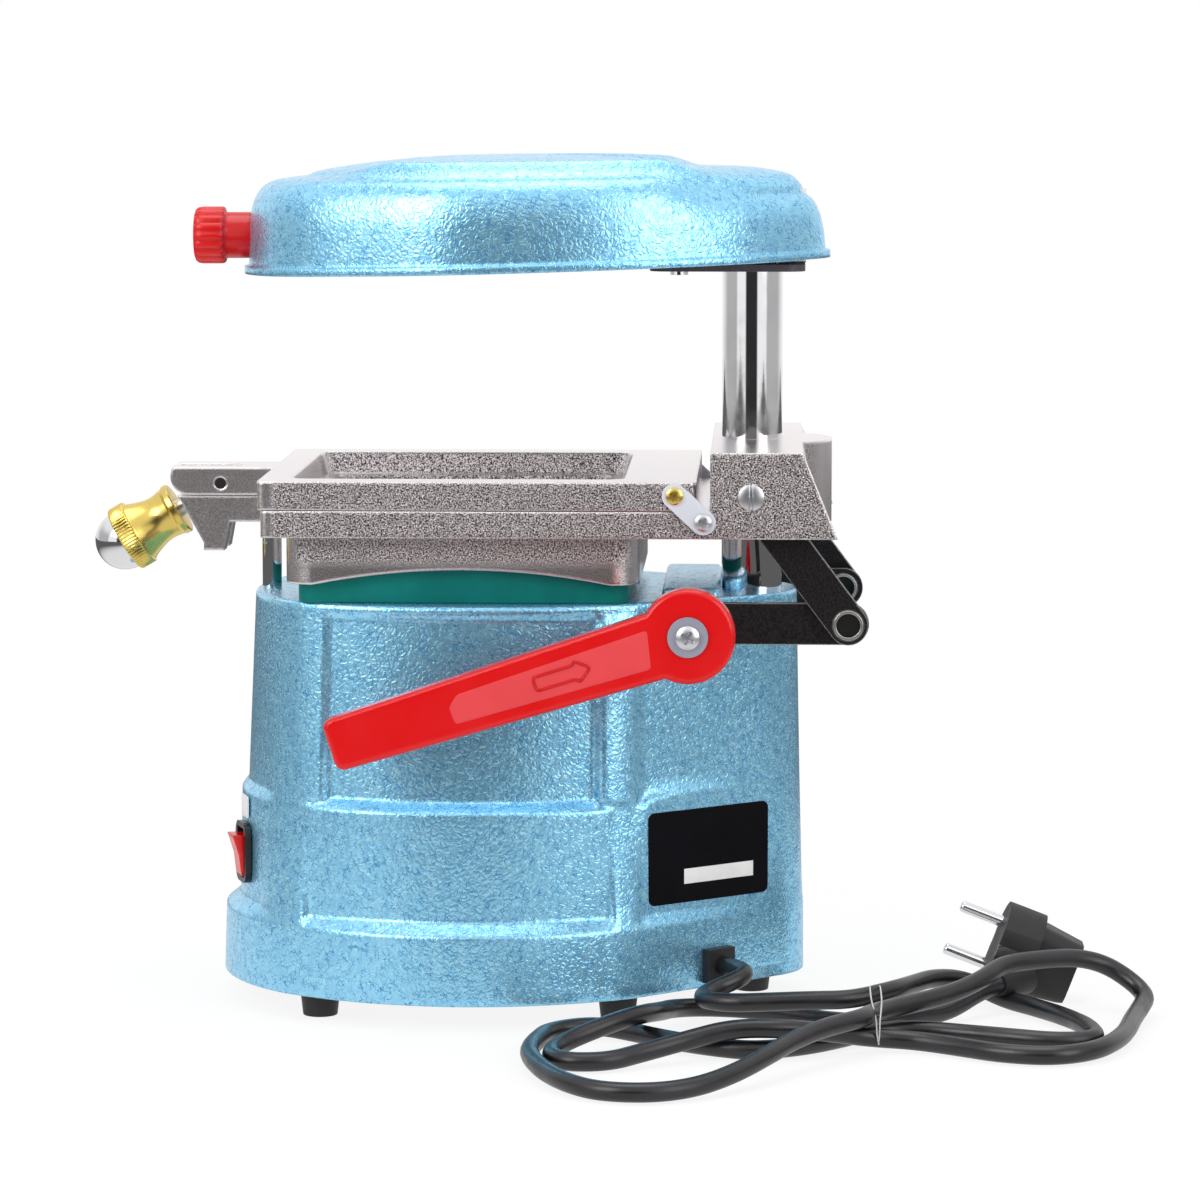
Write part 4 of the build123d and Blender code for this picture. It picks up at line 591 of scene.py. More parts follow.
def head_place(points):
    """Points above the rim, turned nose down about the column and lifted to the rim's height."""
    px, py, pz = np.moveaxis(np.asarray(points, float), -1, 0)
    turned_x = px * math.cos(head_tilt) - pz * math.sin(head_tilt)
    turned_z = px * math.sin(head_tilt) + pz * math.cos(head_tilt)
    return np.stack([turned_x, py, head_base + turned_z], -1)


shell_grid = np.swapaxes(head_place(np.stack([plan_x, plan_y, height], -1)), 0, 1)
head = piece_from("head_skin", shell_grid, "head", "blue_hammertone", replaces=["head_shell"])
print("head faces:", len(head.data.polygons), "top at", shell_grid[..., 2].max().round(2))

# %% [markdown]
# ## Turned and moulded pieces
# The clamp's hand nut is turned brass with a straight knurl; the grip on the head is moulded with finger ribs. Both
# are a profile turned about an axis, with a ripple round it that fades out where the piece is plain.

# %% The brass nut, its dome and the red grip
bolt_angle = math.radians(31)
clamp_pin = (-219.4, 0.0, 213.2)
bolt_way = (-math.cos(bolt_angle), 0.0, -math.sin(bolt_angle))


def eased(points, steps=6):
    """A smooth profile through (radius, height) points."""
    return smooth_through(np.asarray(points, float), steps)


collar = [(4.0, 22.0), (10.6, 22.0), (11.1, 22.5), (11.1, 24.5), (10.7, 25.0)]
waist = eased([(10.5, 25.2), (9.75, 29.5), (9.9, 33.0), (11.2, 37.6), (12.7, 41.2)])
knurled = [
    (12.9, 41.5), (13.7, 41.7), (14.1, 42.2), (14.1, 45.0), (14.1, 48.0), (13.6, 48.6),
    (11.6, 48.7), (4.0, 48.7),
]
nut_profile = np.concatenate([collar, waist, knurled])
tooth = window(nut_profile[:, 1], 42.0, 48.3, 0.2)[:, None] * (nut_profile[:, :1] > 13.9)
knurl_teeth = 64
nut_grid = revolve(
    nut_profile, knurl_teeth * 6, lambda a, row: 1 - 0.028 * tooth[row[:, 0]] * (0.5 - 0.5 * np.cos(knurl_teeth * a))
)
piece_from("hand_nut", turned(nut_grid, bolt_way, clamp_pin), "clamp_nut", "brass", replaces=["clamp_nut"])

sweep = np.radians(np.linspace(0, 88, 24))
dome_profile = np.stack([12.3 * np.cos(sweep), 48.7 + 12.3 * np.sin(sweep)], -1)
piece_from(
    "nut_ball", turned(revolve(dome_profile, 96), bolt_way, clamp_pin), "clamp_nut", "chrome", replaces=["nut_dome"]
)

grip_profile = np.array([
    (2.0, 25.0), (9.3, 25.0), (9.5, 24.6), (9.5, 13.6), (9.9, 13.0), (11.0, 12.7), (11.6, 12.2), (11.8, 11.4),
    (11.8, 7.5),
    (11.8, 3.2), (11.5, 1.6), (10.6, 0.5), (9.4, 0.1), (8.6, 0.1), (8.0, 0.5), (2.0, 0.5),
])[::-1]
ribbed = window(grip_profile[:, 1], 0.4, 12.8, 1.6)[:, None] * smoothstep(9.2, 11.2, grip_profile[:, :1])
ribs = 18
grip_grid = revolve(
    grip_profile, ribs * 14, lambda a, row: 1 - 0.085 * ribbed[row[:, 0]] * (0.5 + 0.5 * np.cos(ribs * a)) ** 3
)
piece_from(
    "grip_knob", turned(grip_grid, (1, 0, 0), (-230.6, 0, 315.0)), "head", "red_plastic", replaces=["head_grip"]
)
print("turned pieces ready")

# %% [markdown]
# ## Screws with driven heads
# A screw is read by its head: a low dome with a cross or a slot pressed into it. The dome is a grid of distance from
# the axis and angle round it, and the recess is taken off the height wherever a point lies close to a blade.

# %% Screw heads
def driven_screw(name, node, side, radius, rise, shank, blades, slot):
    """A shank and its domed head: height = rise sqrt(1 - 0.7 q^2), less the depth near a blade; q = r / radius."""
    low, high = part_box(node)
    near = low.y if side < 0 else high.y
    centre = (np.array([(low.x + high.x) / 2, near, (low.z + high.z) / 2]) - column_axis) / MM
    angle = np.linspace(0, 2 * np.pi, 120, endpoint=False)[None]
    share = np.linspace(0.02, 1.0, 30)[:, None]
    height = rise * np.sqrt(1 - 0.7 * share**2) * np.ones_like(angle)
    turn = angle + (0.5 if blades == 2 else 0.0)
    to_blade = share * radius * np.abs(np.sin(turn))
    if blades == 2:
        to_blade = np.minimum(to_blade, share * radius * np.abs(np.cos(turn)))
    reach = 0.62 if blades == 2 else 1.2
    depth = 0.6 * rise * (
        1 - smoothstep(0.09 * radius, 0.16 * radius, to_blade)
    ) * (1 - smoothstep(reach - 0.1, reach, share))
    top = np.stack([share * radius * np.cos(angle), share * radius * np.sin(angle), height - depth], -1)
    stem = revolve([(radius, 0.0), (shank[0], 0.0), (shank[0], -shank[1])], 120)
    grid = np.concatenate([top, stem])
    base = centre - np.array([0.0, side * rise, 0.0])
    piece_from(name, turned(grid, (0, side, 0), base), body_of_node[node], slot, replaces=[node])


driven_screw("hub_screw", "lever_screw", -1, 4.7, 2.6, (2.0, 12.0), 2, "bright_zinc")
for side, where in ((-1, "near"), (1, "far")):
    driven_screw("pivot_" + where, "pivot_screws", side, 5.2, 1.8, (3.0, 5.0), 1, "bright_zinc")
    driven_screw("link_pin_" + where, "side_link_pins", side, 3.4, 1.6, (1.6, 5.0), 2, "bright_zinc")
    driven_screw("frame_pin_" + where, "frame_screws", side, 3.4, 1.6, (1.6, 5.0), 2, "brass")
# Black discs set into both ends of the hollow crank pins stand for the dark inside of the bores: painted shade.
pin_low, pin_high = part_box("crank_pins")
for side, where in ((-1, "near"), (1, "far")):
    face = pin_low.y if side < 0 else pin_high.y
    centre = (np.array([(pin_low.x + pin_high.x) / 2, face, (pin_low.z + pin_high.z) / 2]) - column_axis) / MM
    bore_shade = revolve([(5.2, -3.0), (5.2, -1.4), (5.0, -1.2), (0.5, -1.2)], 64)
    piece_from("pin_bore_shade_" + where, turned(bore_shade, (0, side, 0), centre), "lift_shaft", "black_plastic")
print("screws ready", "pin width", round((pin_high.x - pin_low.x) / MM, 1))

# %% [markdown]
# ## Marks, plates and the tie
# A wire is a circle carried along a path. The plain arrow on the lever and the twist tie round the hank are both
# wires; the matt panel on the lever and the blank field on the rating plate are thin plates laid on their parts.
# The panel's lighter red is a painted highlight.

# %% Wires, the arrow, the plate's field and the tie
def wire(path, radius, sides=10):
    """A closed wire: path + radius (cos a side + sin a up), with side and up square to the path."""
    path = np.asarray(path, float)
    along_path = np.roll(path, -1, 0) - np.roll(path, 1, 0)
    along_path /= np.linalg.norm(along_path, axis=1, keepdims=True)
    spare = np.array([0.31, 0.9, 0.2])
    side = np.cross(along_path, spare)
    side /= np.linalg.norm(side, axis=1, keepdims=True)
    up = np.cross(along_path, side)
    angle = np.linspace(0, 2 * np.pi, sides, endpoint=False)[None, :, None]
    grid = path[:, None] + radius * (np.cos(angle) * side[:, None] + np.sin(angle) * up[:, None])
    faces = grid_faces(len(path) + 1, sides)
    count = len(path) * sides
    return grid.reshape(-1, 3), (np.array(faces) % count).tolist()


def dense(corners, step=0.8):
    """A closed path with points about every step along its straight runs, and slightly rounded corners."""
    corners = np.asarray(corners, float)
    after = np.roll(corners, -1, 0)
    counts = np.maximum(2, (np.linalg.norm(after - corners, axis=1) / step).astype(int))
    runs = [
        here + (there - here) * np.linspace(0, 1, n, endpoint=False)[:, None]
        for here, there, n in zip(corners, after, counts)
    ]
    path = np.concatenate(runs)
    return rounded_loop(path[None], 3)[0]


def wire_piece(name, path, radius, body, slot, replaces=()):
    """A wire made a piece."""
    points, faces = wire(path, radius)
    piece = mesh_object(name, at(points), faces)
    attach(piece, body)
    if replaces:
        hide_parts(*replaces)
    piece["finish"] = slot


lever_droop = math.radians(17.4)
lever_face = -117.0


def on_lever(along_arm, up_arm, proud):
    """A place on the lever's outer face: distance from the hub, height across the arm, distance off the face."""
    along_arm, up_arm = np.asarray(along_arm, float), np.asarray(up_arm, float)
    x = -24.5 - along_arm * math.cos(lever_droop) - up_arm * math.sin(lever_droop)
    z = 162.0 - along_arm * math.sin(lever_droop) + up_arm * math.cos(lever_droop)
    return np.stack([x, np.full_like(x, lever_face - proud), z], -1)


arrow = np.array([(40, 0), (46, 4.6), (46, 2.8), (63, 2.8), (63, -2.8), (46, -2.8), (46, -4.6)])
wire_piece("lever_arrow", dense(on_lever(arrow[:, 0], arrow[:, 1], 0.3)), 0.62, "lift_shaft", "red_plastic")

panel_corners = np.array([(14.5, 7.4), (17.5, -7.8), (97.5, -6.0), (98.0, 1.2), (93.5, 5.2)])
panel_loop = dense(np.stack([panel_corners[:, 0], panel_corners[:, 1]], -1), 0.8)
panel_rings = [(0.2, -0.3), (0.0, 0.0), (0.15, 0.2), (0.6, 0.3), (3.0, 0.3)]
panel_middle = panel_loop.mean(0)
panel_grid = np.stack([
    on_lever(*(panel_middle + (panel_loop - panel_middle) * (1 - inset / 8)).T, proud) for inset, proud in panel_rings
])
# The panel is drawn a lighter red than the lever: a painted highlight where the sunken panel catches a soft light.
piece_from("lever_panel", panel_grid, "lift_shaft", "red_matte_lit")

plate_normal = np.array([0.632, -0.775, 0.0])
plate_across = np.array([0.775, 0.632, 0.0])
plate_up = np.array([0.0, 0.0, 1.0])
plate_centre = np.array([-17.0, -46.56, 65.0]) + 0.4 * plate_normal
field_grid = rounded_box((-13.0, -0.1, -11.4), (23.0, 0.12, -5.2), 0.1)
field_points = plate_centre + field_grid @ np.stack([plate_across, plate_normal, plate_up])
piece_from("plate_field", field_points, "base", "white_label")

turn = np.linspace(0, 2 * np.pi, 96, endpoint=False)
tie_centre = np.array([50.0, -108.7, 10.2])
tie_half_width = 24.8
tie_half_height = 9.6
tie_wire = 0.32


def squarish(value):
    """A round wave with squarer corners: the value's sign x its size to the power 0.55."""
    return np.sign(value) * np.abs(value) ** 0.55


for index, (lean_x, offset) in enumerate(((2.0, 0.0), (-1.0, 1.2))):
    loop_y = tie_centre[1] + tie_half_width * squarish(np.cos(turn))
    loop_z = tie_centre[2] + tie_half_height * squarish(np.sin(turn))
    loop_x = tie_centre[0] + offset - lean_x * np.sin(turn)
    wire_piece(
        f"twist_tie_{index}",
        np.stack([loop_x, loop_y, loop_z], -1),
        tie_wire,
        "base",
        "tie_white",
        ["cord_tie"] if index == 0 else (),
    )
print("wires ready")

# %% [markdown]
# ## Finishes
# Every finish is a small tree of shader nodes on Object coordinates, so the grain has its real size in metres and
# stays put on the part. Patterns that more than one finish needs are node groups with named sockets.

# %% Node helpers
def add(tree, kind, inputs=None, **settings):
    """A shader node with its settings and inputs; an input is a value or another node's output."""
    node = tree.nodes.new("ShaderNode" + kind)
    for key, value in settings.items():
        setattr(node, key, value)
    for key, value in (inputs or {}).items():
        if isinstance(value, bpy.types.NodeSocket):
            tree.links.new(value, node.inputs[key])
        else:
            node.inputs[key].default_value = value
    return node


def linear(red, green, blue):
    """A colour given as 0 to 255 display values, as linear light: c / 12.92, or ((c + 0.055) / 1.055)^2.4."""
    shares = [channel / 255 for channel in (red, green, blue)]
    return [share / 12.92 if share <= 0.04045 else ((share + 0.055) / 1.055) ** 2.4 for share in shares] + [1.0]


def new_group(name, inputs, outputs):
    """An empty node group with named float inputs and outputs, and its two ends."""
    group = bpy.data.node_groups.new(name, "ShaderNodeTree")
    for socket, default in inputs.items():
        made = group.interface.new_socket(name=socket, in_out="INPUT", socket_type="NodeSocketFloat")
        made.default_value = default
    for socket in outputs:
        group.interface.new_socket(name=socket, in_out="OUTPUT", socket_type="NodeSocketFloat")
    start = group.nodes.new("NodeGroupInput")
    end = group.nodes.new("NodeGroupOutput")
    return group, start, end


def use_group(tree, group, **inputs):
    """Places a group in a tree with its own values; underscores in names stand for spaces."""
    node = tree.nodes.new("ShaderNodeGroup")
    node.node_tree = group
    for key, value in inputs.items():
        node.inputs[key.replace("_", " ")].default_value = value
    return node


def blend_colour(tree, share, low, high):
    """Mixes two colours by a share."""
    node = tree.nodes.new("ShaderNodeMix")
    node.data_type = "RGBA"
    for key, value in ((0, share), (6, low), (7, high)):
        if isinstance(value, bpy.types.NodeSocket):
            tree.links.new(value, node.inputs[key])
        else:
            node.inputs[key].default_value = value
    return node.outputs[2]


def band(tree, value, low, high, out_low=0.0, out_high=1.0):
    """Maps a value from one range to another, clamped, with a smooth step."""
    node = add(
        tree, "MapRange", {"Value": value, 1: low, 2: high, 3: out_low, 4: out_high}, interpolation_type="SMOOTHSTEP"
    )
    return node.outputs[0]


print("node helpers ready")

# %% [markdown]
# ## Shared patterns
# Hammertone enamel dries into small pebbles with dark lines between them; a sand casting keeps a fine speckle under
# its plating; an edge mask paints a highlight along the castings' edges and marks worn bright edges on blackened
# steel; and every surface carries faint smudges. Voronoi cells give the pebbles, noise the rest, and a bevelled
# normal compared with the true one finds the edges.

# %% Pattern groups
hammer, start, end = new_group("hammer_pebbles", {"Size mm": 3.0, "Warp": 0.5}, ["Network", "Height", "Cloud"])
place = add(hammer, "TexCoord").outputs["Object"]
frequency = add(hammer, "Math", {0: 1000.0, 1: start.outputs["Size mm"]}, operation="DIVIDE").outputs[0]
wobble = add(hammer, "TexNoise", {"Vector": place, "Scale": frequency, "Detail": 2.0})
centred = add(hammer, "VectorMath", {0: wobble.outputs["Color"], 1: (0.5, 0.5, 0.5)}, operation="SUBTRACT").outputs[0]
amount = add(hammer, "Math", {0: start.outputs["Size mm"], 1: 0.001}, operation="MULTIPLY").outputs[0]
amount = add(hammer, "Math", {0: amount, 1: start.outputs["Warp"]}, operation="MULTIPLY").outputs[0]
amount = add(hammer, "Math", {0: amount, 1: 2.4}, operation="MULTIPLY").outputs[0]
shift = add(hammer, "VectorMath", {0: centred}, operation="SCALE")
hammer.links.new(amount, shift.inputs["Scale"])
warped = add(hammer, "VectorMath", {0: place, 1: shift.outputs[0]}, operation="ADD").outputs[0]
cells = add(hammer, "TexVoronoi", {"Vector": warped, "Scale": frequency}, feature="DISTANCE_TO_EDGE")
patch = add(hammer, "TexNoise", {"Vector": place, "Scale": 300.0, "Detail": 2.0}).outputs[0]
line_mask = band(hammer, cells.outputs["Distance"], 0.0, 0.09, 1.0, 0.0)
gaps = band(hammer, patch, 0.40, 0.62, 0.1, 0.85)
hammer.links.new(add(hammer, "Math", {0: line_mask, 1: gaps}, operation="MULTIPLY").outputs[0], end.inputs["Network"])
hammer.links.new(band(hammer, cells.outputs["Distance"], 0.0, 0.42), end.inputs["Height"])
cloud = add(hammer, "TexNoise", {"Vector": place, "Scale": 260.0, "Detail": 4.0}).outputs[0]
hammer.links.new(cloud, end.inputs["Cloud"])

speckle, start, end = new_group("casting_speckle", {"Size mm": 0.6}, ["Specks", "Height"])
place = add(speckle, "TexCoord").outputs["Object"]
frequency = add(speckle, "Math", {0: 1000.0, 1: start.outputs["Size mm"]}, operation="DIVIDE").outputs[0]
fine = add(speckle, "TexNoise", {"Vector": place, "Scale": frequency, "Detail": 3.0, "Roughness": 0.7}).outputs[0]
grains = add(speckle, "TexVoronoi", {"Vector": place, "Scale": frequency}, feature="F1").outputs["Distance"]
speckle.links.new(band(speckle, fine, 0.42, 0.58), end.inputs["Specks"])
both = add(speckle, "Math", {0: fine, 1: grains}, operation="ADD").outputs[0]
speckle.links.new(both, end.inputs["Height"])

# An edge mask: on the plated castings it paints a highlight along every edge; on blackened steel it marks edges worn
# to bright steel.
edges, start, end = new_group("edge_highlight_and_wear", {"Width mm": 0.6, "Amount": 1.0}, ["Mask"])
radius = add(edges, "Math", {0: start.outputs["Width mm"], 1: 0.001}, operation="MULTIPLY").outputs[0]
soft = add(edges, "Bevel", samples=4)
edges.links.new(radius, soft.inputs["Radius"])
true = add(edges, "NewGeometry").outputs["Normal"]
same = add(edges, "VectorMath", {0: soft.outputs[0], 1: true}, operation="DOT_PRODUCT").outputs["Value"]
edge_glint_and_wear = band(edges, same, 0.90, 0.995, 1.0, 0.0)
edges.links.new(
    add(edges, "Math", {0: edge_glint_and_wear, 1: start.outputs["Amount"]}, operation="MULTIPLY").outputs[0], end.inputs["Mask"]
)

smudge, start, end = new_group("handling_smudges", {"Size mm": 20.0}, ["Mask", "Height"])
place = add(smudge, "TexCoord").outputs["Object"]
frequency = add(smudge, "Math", {0: 1000.0, 1: start.outputs["Size mm"]}, operation="DIVIDE").outputs[0]
spots = add(smudge, "TexNoise", {"Vector": place, "Scale": frequency, "Detail": 5.0, "Roughness": 0.6}).outputs[0]
smudge.links.new(band(smudge, spots, 0.35, 0.7), end.inputs["Mask"])
smudge.links.new(spots, end.inputs["Height"])
print("pattern groups:", [group.name for group in bpy.data.node_groups])

# %% [markdown]
# ## One function per finish
# Each function takes a new material's tree and its Principled shader, and wires the patterns to colour, roughness
# and bump. Plain numbers such as the metal share are set on the shader itself, so they survive export.

# %% Finish functions
def start_finish(name, roughness, metallic=0.0, coat=0.0, specular=0.5):
    """A material with one Principled shader."""
    material = bpy.data.materials.new(name)
    material.use_nodes = True
    tree = material.node_tree
    shader = tree.nodes["Principled BSDF"]
    shader.inputs["Roughness"].default_value = roughness
    shader.inputs["Metallic"].default_value = metallic
    shader.inputs["Coat Weight"].default_value = coat
    shader.inputs["Specular IOR Level"].default_value = specular
    return material, tree, shader


def bump(tree, shader, height, distance_mm, strength=1.0, round_mm=0.0):
    """Feeds a height to the shader's normal, over edges that are rounded off where a radius is given."""
    node = add(tree, "Bump", {"Height": height, "Strength": strength, "Distance": distance_mm * MM})
    if round_mm:
        soft = add(tree, "Bevel", {"Radius": round_mm * MM}, samples=8)
        tree.links.new(soft.outputs[0], node.inputs["Normal"])
    tree.links.new(node.outputs[0], shader.inputs["Normal"])


def hammertone():
    """Pale blue metallic enamel: thin dark lines between pebbles, a soft flake and a domed relief."""
    material, tree, shader = start_finish("blue_hammertone", 0.28, metallic=0.75, coat=0.05)
    pebbles = use_group(tree, hammer, Size_mm=2.4, Warp=0.6)
    flake = blend_colour(
        tree, band(tree, pebbles.outputs["Cloud"], 0.3, 0.7), linear(142, 209, 244), linear(162, 224, 252)
    )
    colour = blend_colour(tree, pebbles.outputs["Network"], flake, linear(52, 124, 182))
    tree.links.new(colour, shader.inputs["Base Color"])
    tree.links.new(band(tree, pebbles.outputs["Network"], 0.0, 1.0, 0.24, 0.42), shader.inputs["Roughness"])
    shader.inputs["Coat Roughness"].default_value = 0.12
    bump(tree, shader, pebbles.outputs["Height"], 0.12, 0.7, round_mm=2.0)
    return material


def plated_casting():
    """Nickel over a sand casting: faces that look along Y keep a dark speckle; faces that look up or along X and the
    edges get a plain pale colour, a painted highlight; the nose and the lowest parts are also smooth and pale.
    """
    material, tree, shader = start_finish("plated_casting", 0.3, metallic=1.0)
    grain = use_group(tree, speckle, Size_mm=0.62)
    edge_light_and_wear = use_group(tree, edges, Width_mm=1.4, Amount=1.0)
    coordinates = add(tree, "TexCoord").outputs
    facing = add(tree, "SeparateXYZ", {0: coordinates["Normal"]}).outputs
    sideways = add(tree, "Math", {0: facing["Y"]}, operation="ABSOLUTE").outputs[0]
    place = add(tree, "SeparateXYZ", {0: coordinates["Object"]}).outputs
    # The nose past X -193 mm and the parts below 0.186 m are also kept smooth and pale.
    in_front = band(tree, place["X"], *(at([(-193, 0, 0), (-189, 0, 0)])[:, 0]), 0.6, 0.0)
    below = band(tree, place["Z"], 0.183, 0.189, 0.8, 0.0)
    calm = add(tree, "Math", {0: in_front, 1: below}, operation="MAXIMUM").outputs[0]
    # Faces that don't look along Y, such as tops and ends, are painted pale further down: a painted highlight for the
    # bright light that they catch.
    lit_face_share = band(tree, sideways, 0.5, 0.95, 1.0, 0.0)
    lit_faces_and_edges = add(tree, "Math", {0: lit_face_share, 1: edge_light_and_wear.outputs["Mask"]}, operation="MAXIMUM").outputs[0]
    smooth = add(tree, "Math", {0: lit_faces_and_edges, 1: calm}, operation="MAXIMUM").outputs[0]
    rough_share = add(tree, "Math", {0: 1.0, 1: smooth}, operation="SUBTRACT").outputs[0]
    specks = blend_colour(tree, grain.outputs["Specks"], linear(44, 38, 40), linear(240, 231, 231))
    # The plain pale colour is a painted highlight on up-facing and end faces and along the edges; the speckle stays
    # on faces that look along Y.
    colour = blend_colour(tree, smooth, specks, linear(246, 239, 240))
    tree.links.new(colour, shader.inputs["Base Color"])
    tree.links.new(band(tree, smooth, 0.0, 1.0, 0.36, 0.24), shader.inputs["Roughness"])
    relief = add(tree, "Math", {0: grain.outputs["Height"], 1: rough_share}, operation="MULTIPLY").outputs[0]
    bump(tree, shader, relief, 0.16, 1.0, round_mm=1.8)
    return material


def polished(name, colour, roughness, worn, size_mm=18.0):
    """A bright metal with faint smudges that dull it."""
    material, tree, shader = start_finish(name, roughness, metallic=1.0)
    marks = use_group(tree, smudge, Size_mm=size_mm)
    tint = blend_colour(tree, marks.outputs["Mask"], colour, [channel * 0.94 for channel in colour[:3]] + [1.0])
    tree.links.new(tint, shader.inputs["Base Color"])
    tree.links.new(band(tree, marks.outputs["Mask"], 0.0, 1.0, roughness, worn), shader.inputs["Roughness"])
    bump(tree, shader, marks.outputs["Height"], 0.02, 0.3)
    return material


def black_oxide():
    """Blackened steel plate whose stamped edges are worn through to bright steel."""
    material, tree, shader = start_finish("black_steel", 0.42, metallic=0.7)
    edge_light_and_wear = use_group(tree, edges, Width_mm=0.7, Amount=1.0)
    grain = use_group(tree, speckle, Size_mm=0.9)
    skin = blend_colour(tree, grain.outputs["Specks"], linear(30, 28, 30), linear(48, 44, 46))
    tree.links.new(blend_colour(tree, edge_light_and_wear.outputs["Mask"], skin, linear(214, 210, 206)), shader.inputs["Base Color"])
    tree.links.new(band(tree, edge_light_and_wear.outputs["Mask"], 0.0, 1.0, 0.42, 0.22), shader.inputs["Roughness"])
    bump(tree, shader, grain.outputs["Height"], 0.03, 0.5)
    return material


def moulded(name, dark, light, roughness, size_mm=1.2, relief=0.02, specular=0.5, round_mm=0.0):
    """A moulding: a slight drift of colour, a faint orange-peel relief and roughness that varies with handling."""
    material, tree, shader = start_finish(name, roughness, specular=specular)
    marks = use_group(tree, smudge, Size_mm=25.0)
    grain = use_group(tree, speckle, Size_mm=size_mm)
    tree.links.new(blend_colour(tree, marks.outputs["Mask"], dark, light), shader.inputs["Base Color"])
    tree.links.new(
        band(tree, marks.outputs["Mask"], 0.0, 1.0, roughness, roughness * 1.35), shader.inputs["Roughness"]
    )
    bump(tree, shader, grain.outputs["Height"], relief, 0.6, round_mm)
    return material


print("finish functions ready")

# %% Every slot's finish
finishes = {
    "blue_hammertone": hammertone(),
    "plated_casting": plated_casting(),
    "chrome": polished("chrome", linear(236, 236, 238), 0.04, 0.09),
    "zinc_steel": polished("zinc_steel", linear(214, 212, 208), 0.3, 0.36, 30.0),
    "bright_zinc": polished("bright_zinc", linear(226, 226, 230), 0.3, 0.34, 30.0),
    "black_steel": black_oxide(),
    "brass": polished("brass", linear(232, 204, 112), 0.24, 0.3, 30.0),
    "grey_zinc": moulded("grey_zinc", linear(136, 136, 150), linear(146, 146, 160), 0.3),
    "dark_steel": moulded("dark_steel", linear(66, 60, 66), linear(74, 68, 74), 0.4),
    "pale_zinc": moulded("pale_zinc", linear(196, 199, 208), linear(204, 207, 216), 0.4),
    "bronze": polished("bronze", linear(196, 150, 96), 0.3, 0.45, 3.0),
    "red_plastic": moulded(
        "red_plastic",
        linear(204, 2, 6),
        linear(206, 3, 7),
        0.16,
        size_mm=30.0,
        relief=0.004,
        specular=0.5,
        round_mm=2.6,
    ),
    # A lighter matt red for the lever's panel: painted highlight.
    "red_matte_lit": moulded(
        "red_matte_lit", linear(208, 58, 62), linear(212, 62, 66), 0.5, size_mm=0.5, relief=0.01, specular=0.3
    ),
    "green_silicone": moulded(
        "green_silicone", linear(0, 104, 98), linear(0, 114, 108), 0.34, size_mm=0.8, specular=0.15
    ),
    "black_rubber": moulded("black_rubber", linear(20, 20, 22), linear(34, 33, 35), 0.5, size_mm=0.7, relief=0.04),
    "black_plastic": moulded("black_plastic", linear(16, 16, 18), linear(26, 26, 28), 0.3),
    "black_plate": moulded("black_plate", linear(14, 13, 17), linear(18, 17, 22), 0.5, size_mm=0.4, specular=0.04),
    "white_label": moulded("white_label", linear(222, 222, 222), linear(236, 236, 234), 0.3),
    "motor_steel": moulded("motor_steel", linear(96, 100, 104), linear(120, 122, 126), 0.4),
    "ceramic": moulded("ceramic", linear(204, 196, 178), linear(226, 220, 204), 0.7, size_mm=1.5, relief=0.08),
    "heater_wire": polished("heater_wire", linear(120, 112, 108), 0.4, 0.55, 4.0),
    "pvc_black": moulded(
        "pvc_black", linear(14, 13, 17), linear(26, 24, 30), 0.3, size_mm=1.6, relief=0.03, specular=0.6
    ),
    "tie_white": moulded("tie_white", linear(190, 190, 190), linear(225, 225, 225), 0.3),
}
for node, cad_object in nodes.items():
    cad_object.data.materials.clear()
    cad_object.data.materials.append(finishes[finish_of_node.get(node, slot_of_node[node])])
for piece in list(scene_objects):
    if "finish" in piece:
        piece.data.materials.clear()
        piece.data.materials.append(finishes[piece["finish"]])
print("finishes:", len(finishes))

# %% [markdown]
# ## The studio
# A machine for a catalogue is lit by large soft boxes against white paper. Big area lamps give the long
# soft highlights on enamel and chrome; the white floor shows the object's shadow; and the world is white to the
# camera, while what metal mirrors is a room of bright and dark panels round it, pale towards the top.

# %% Floor, lamps and world
floor_size = 6.0
floor_drop = 0.0004  # so that nothing laid on the floor shares its plane
paper = bpy.data.materials.new("paper")
paper.use_nodes = True
tree = paper.node_tree
tree.nodes.clear()
matte = add(tree, "BsdfDiffuse", {"Color": (0.9, 0.9, 0.9, 1.0)})
glow = add(tree, "Emission", {"Color": (1.0, 1.0, 1.0, 1.0), "Strength": 1.0})
seen = add(tree, "LightPath")
place = add(tree, "TexCoord").outputs["Object"]
distance = add(tree, "VectorMath", {0: place}, operation="LENGTH").outputs["Value"]
white_share = band(tree, distance, 0.30, 0.85, 0.86, 1.0)
camera_share = add(tree, "Math", {0: seen.outputs["Is Camera Ray"], 1: white_share}, operation="MULTIPLY").outputs[0]
share = add(tree, "Math", {0: camera_share, 1: seen.outputs["Is Glossy Ray"]}, operation="MAXIMUM").outputs[0]
table = band(tree, distance, 0.30, 0.80, 0.85, 0.12)
dimmed = blend_colour(tree, seen.outputs["Is Glossy Ray"], (1.0, 1.0, 1.0, 1.0), table)
tree.links.new(dimmed, glow.inputs["Strength"])
mix = add(tree, "MixShader", {0: share})
tree.links.new(matte.outputs[0], mix.inputs[1])
tree.links.new(glow.outputs[0], mix.inputs[2])
output = add(tree, "OutputMaterial")
tree.links.new(mix.outputs[0], output.inputs["Surface"])

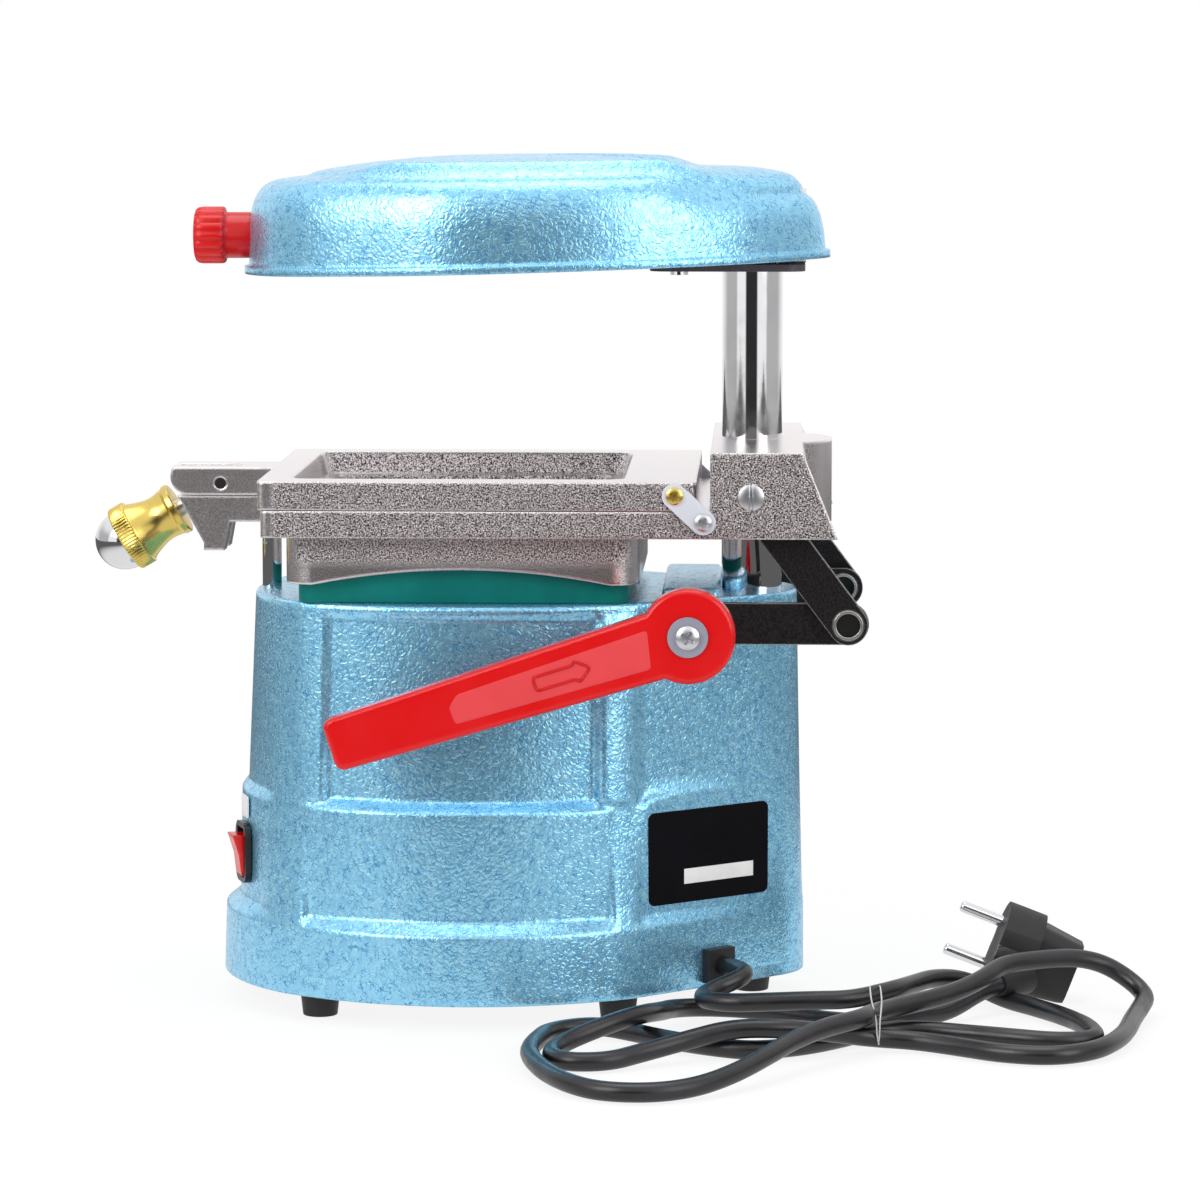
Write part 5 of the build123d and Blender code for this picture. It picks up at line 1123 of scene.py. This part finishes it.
floor_mesh = bpy.data.meshes.new("floor")
half = floor_size / 2
floor_mesh.from_pydata([(-half, -half, 0), (half, -half, 0), (half, half, 0), (-half, half, 0)], [], [(0, 1, 2, 3)])
floor_mesh.materials.append(paper)
floor = bpy.data.objects.new("floor", floor_mesh)
floor.location = (0, 0, -floor_drop)
scene_objects.link(floor)
floor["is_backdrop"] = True

world = bpy.data.worlds.new("studio")
bpy.context.scene.world = world
world.use_nodes = True
tree = world.node_tree
tree.nodes.clear()
heading = add(tree, "TexCoord").outputs["Object"]
parts = add(tree, "SeparateXYZ", {0: heading})
towards_camera = add(tree, "Math", {0: parts.outputs["Y"]}, operation="MULTIPLY")
towards_camera.inputs[1].default_value = -1.0
azimuth = add(tree, "Math", {0: parts.outputs["X"], 1: towards_camera.outputs[0]}, operation="ARCTAN2").outputs[0]
around = add(tree, "MapRange", {"Value": azimuth, 1: -math.pi, 2: math.pi, 3: 0.0, 4: 1.0}).outputs[0]
boxes = add(tree, "ValToRGB", {"Fac": around})
ramp = boxes.color_ramp
stops = [
    (-180, 0.95), (-140, 0.95), (-110, 0.5), (-64, 0.5), (-58, 1.0), (-28, 1.0), (-23, 0.03),
    (16, 0.03), (21, 1.0), (52, 1.0), (58, 0.5), (110, 0.5), (140, 0.95), (180, 0.95),
]
while len(ramp.elements) < len(stops):
    ramp.elements.new(0.5)
for element, (degrees, value) in zip(ramp.elements, stops):
    element.position = (degrees + 180) / 360
    element.color = (value, value, value, 1.0)
rise = band(tree, parts.outputs["Z"], 0.2, 0.6)
room_colour = blend_colour(tree, rise, boxes.outputs["Color"], (0.95, 0.95, 0.95, 1.0))
seen = add(tree, "LightPath")
room_level = blend_colour(tree, seen.outputs["Is Glossy Ray"], (0.8, 0.8, 0.8, 1.0), room_colour)
room = add(tree, "Background", {"Color": room_level, "Strength": 1.0})
white = add(tree, "Background", {"Color": (1.0, 1.0, 1.0, 1.0), "Strength": 1.0})
mix = add(tree, "MixShader", {0: seen.outputs["Is Camera Ray"]})
tree.links.new(room.outputs[0], mix.inputs[1])
tree.links.new(white.outputs[0], mix.inputs[2])
output = add(tree, "OutputWorld")
tree.links.new(mix.outputs[0], output.inputs["Surface"])

bpy.context.scene.view_settings.view_transform = "Standard"


def soft_box(name, position, target, size, power):
    """A square area lamp at a position, aimed at a target, both in metres."""
    data = bpy.data.lights.new(name, "AREA")
    data.shape = "RECTANGLE"
    data.size, data.size_y = size
    data.energy = power
    lamp = bpy.data.objects.new(name, data)
    lamp.location = position
    aim = np.asarray(target, float) - np.asarray(position, float)
    flat = math.hypot(aim[0], aim[1])
    lamp.rotation_euler = (math.atan2(flat, -aim[2]), 0, math.atan2(-aim[0], aim[1]))
    scene_objects.link(lamp)


soft_box("key", (-1.1, -1.3, 1.1), (0, 0, 0.18), (0.9, 0.9), 12.0)
soft_box("fill", (1.3, -1.2, 0.8), (0, 0, 0.15), (0.9, 1.2), 7.5)
soft_box("top", (0.0, 0.1, 1.7), (0, 0, 0.1), (1.2, 1.2), 9.0)
print("lamps and floor placed")

# %% Measure and finish
boxes = {"cad": cad_box, "visual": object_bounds()}
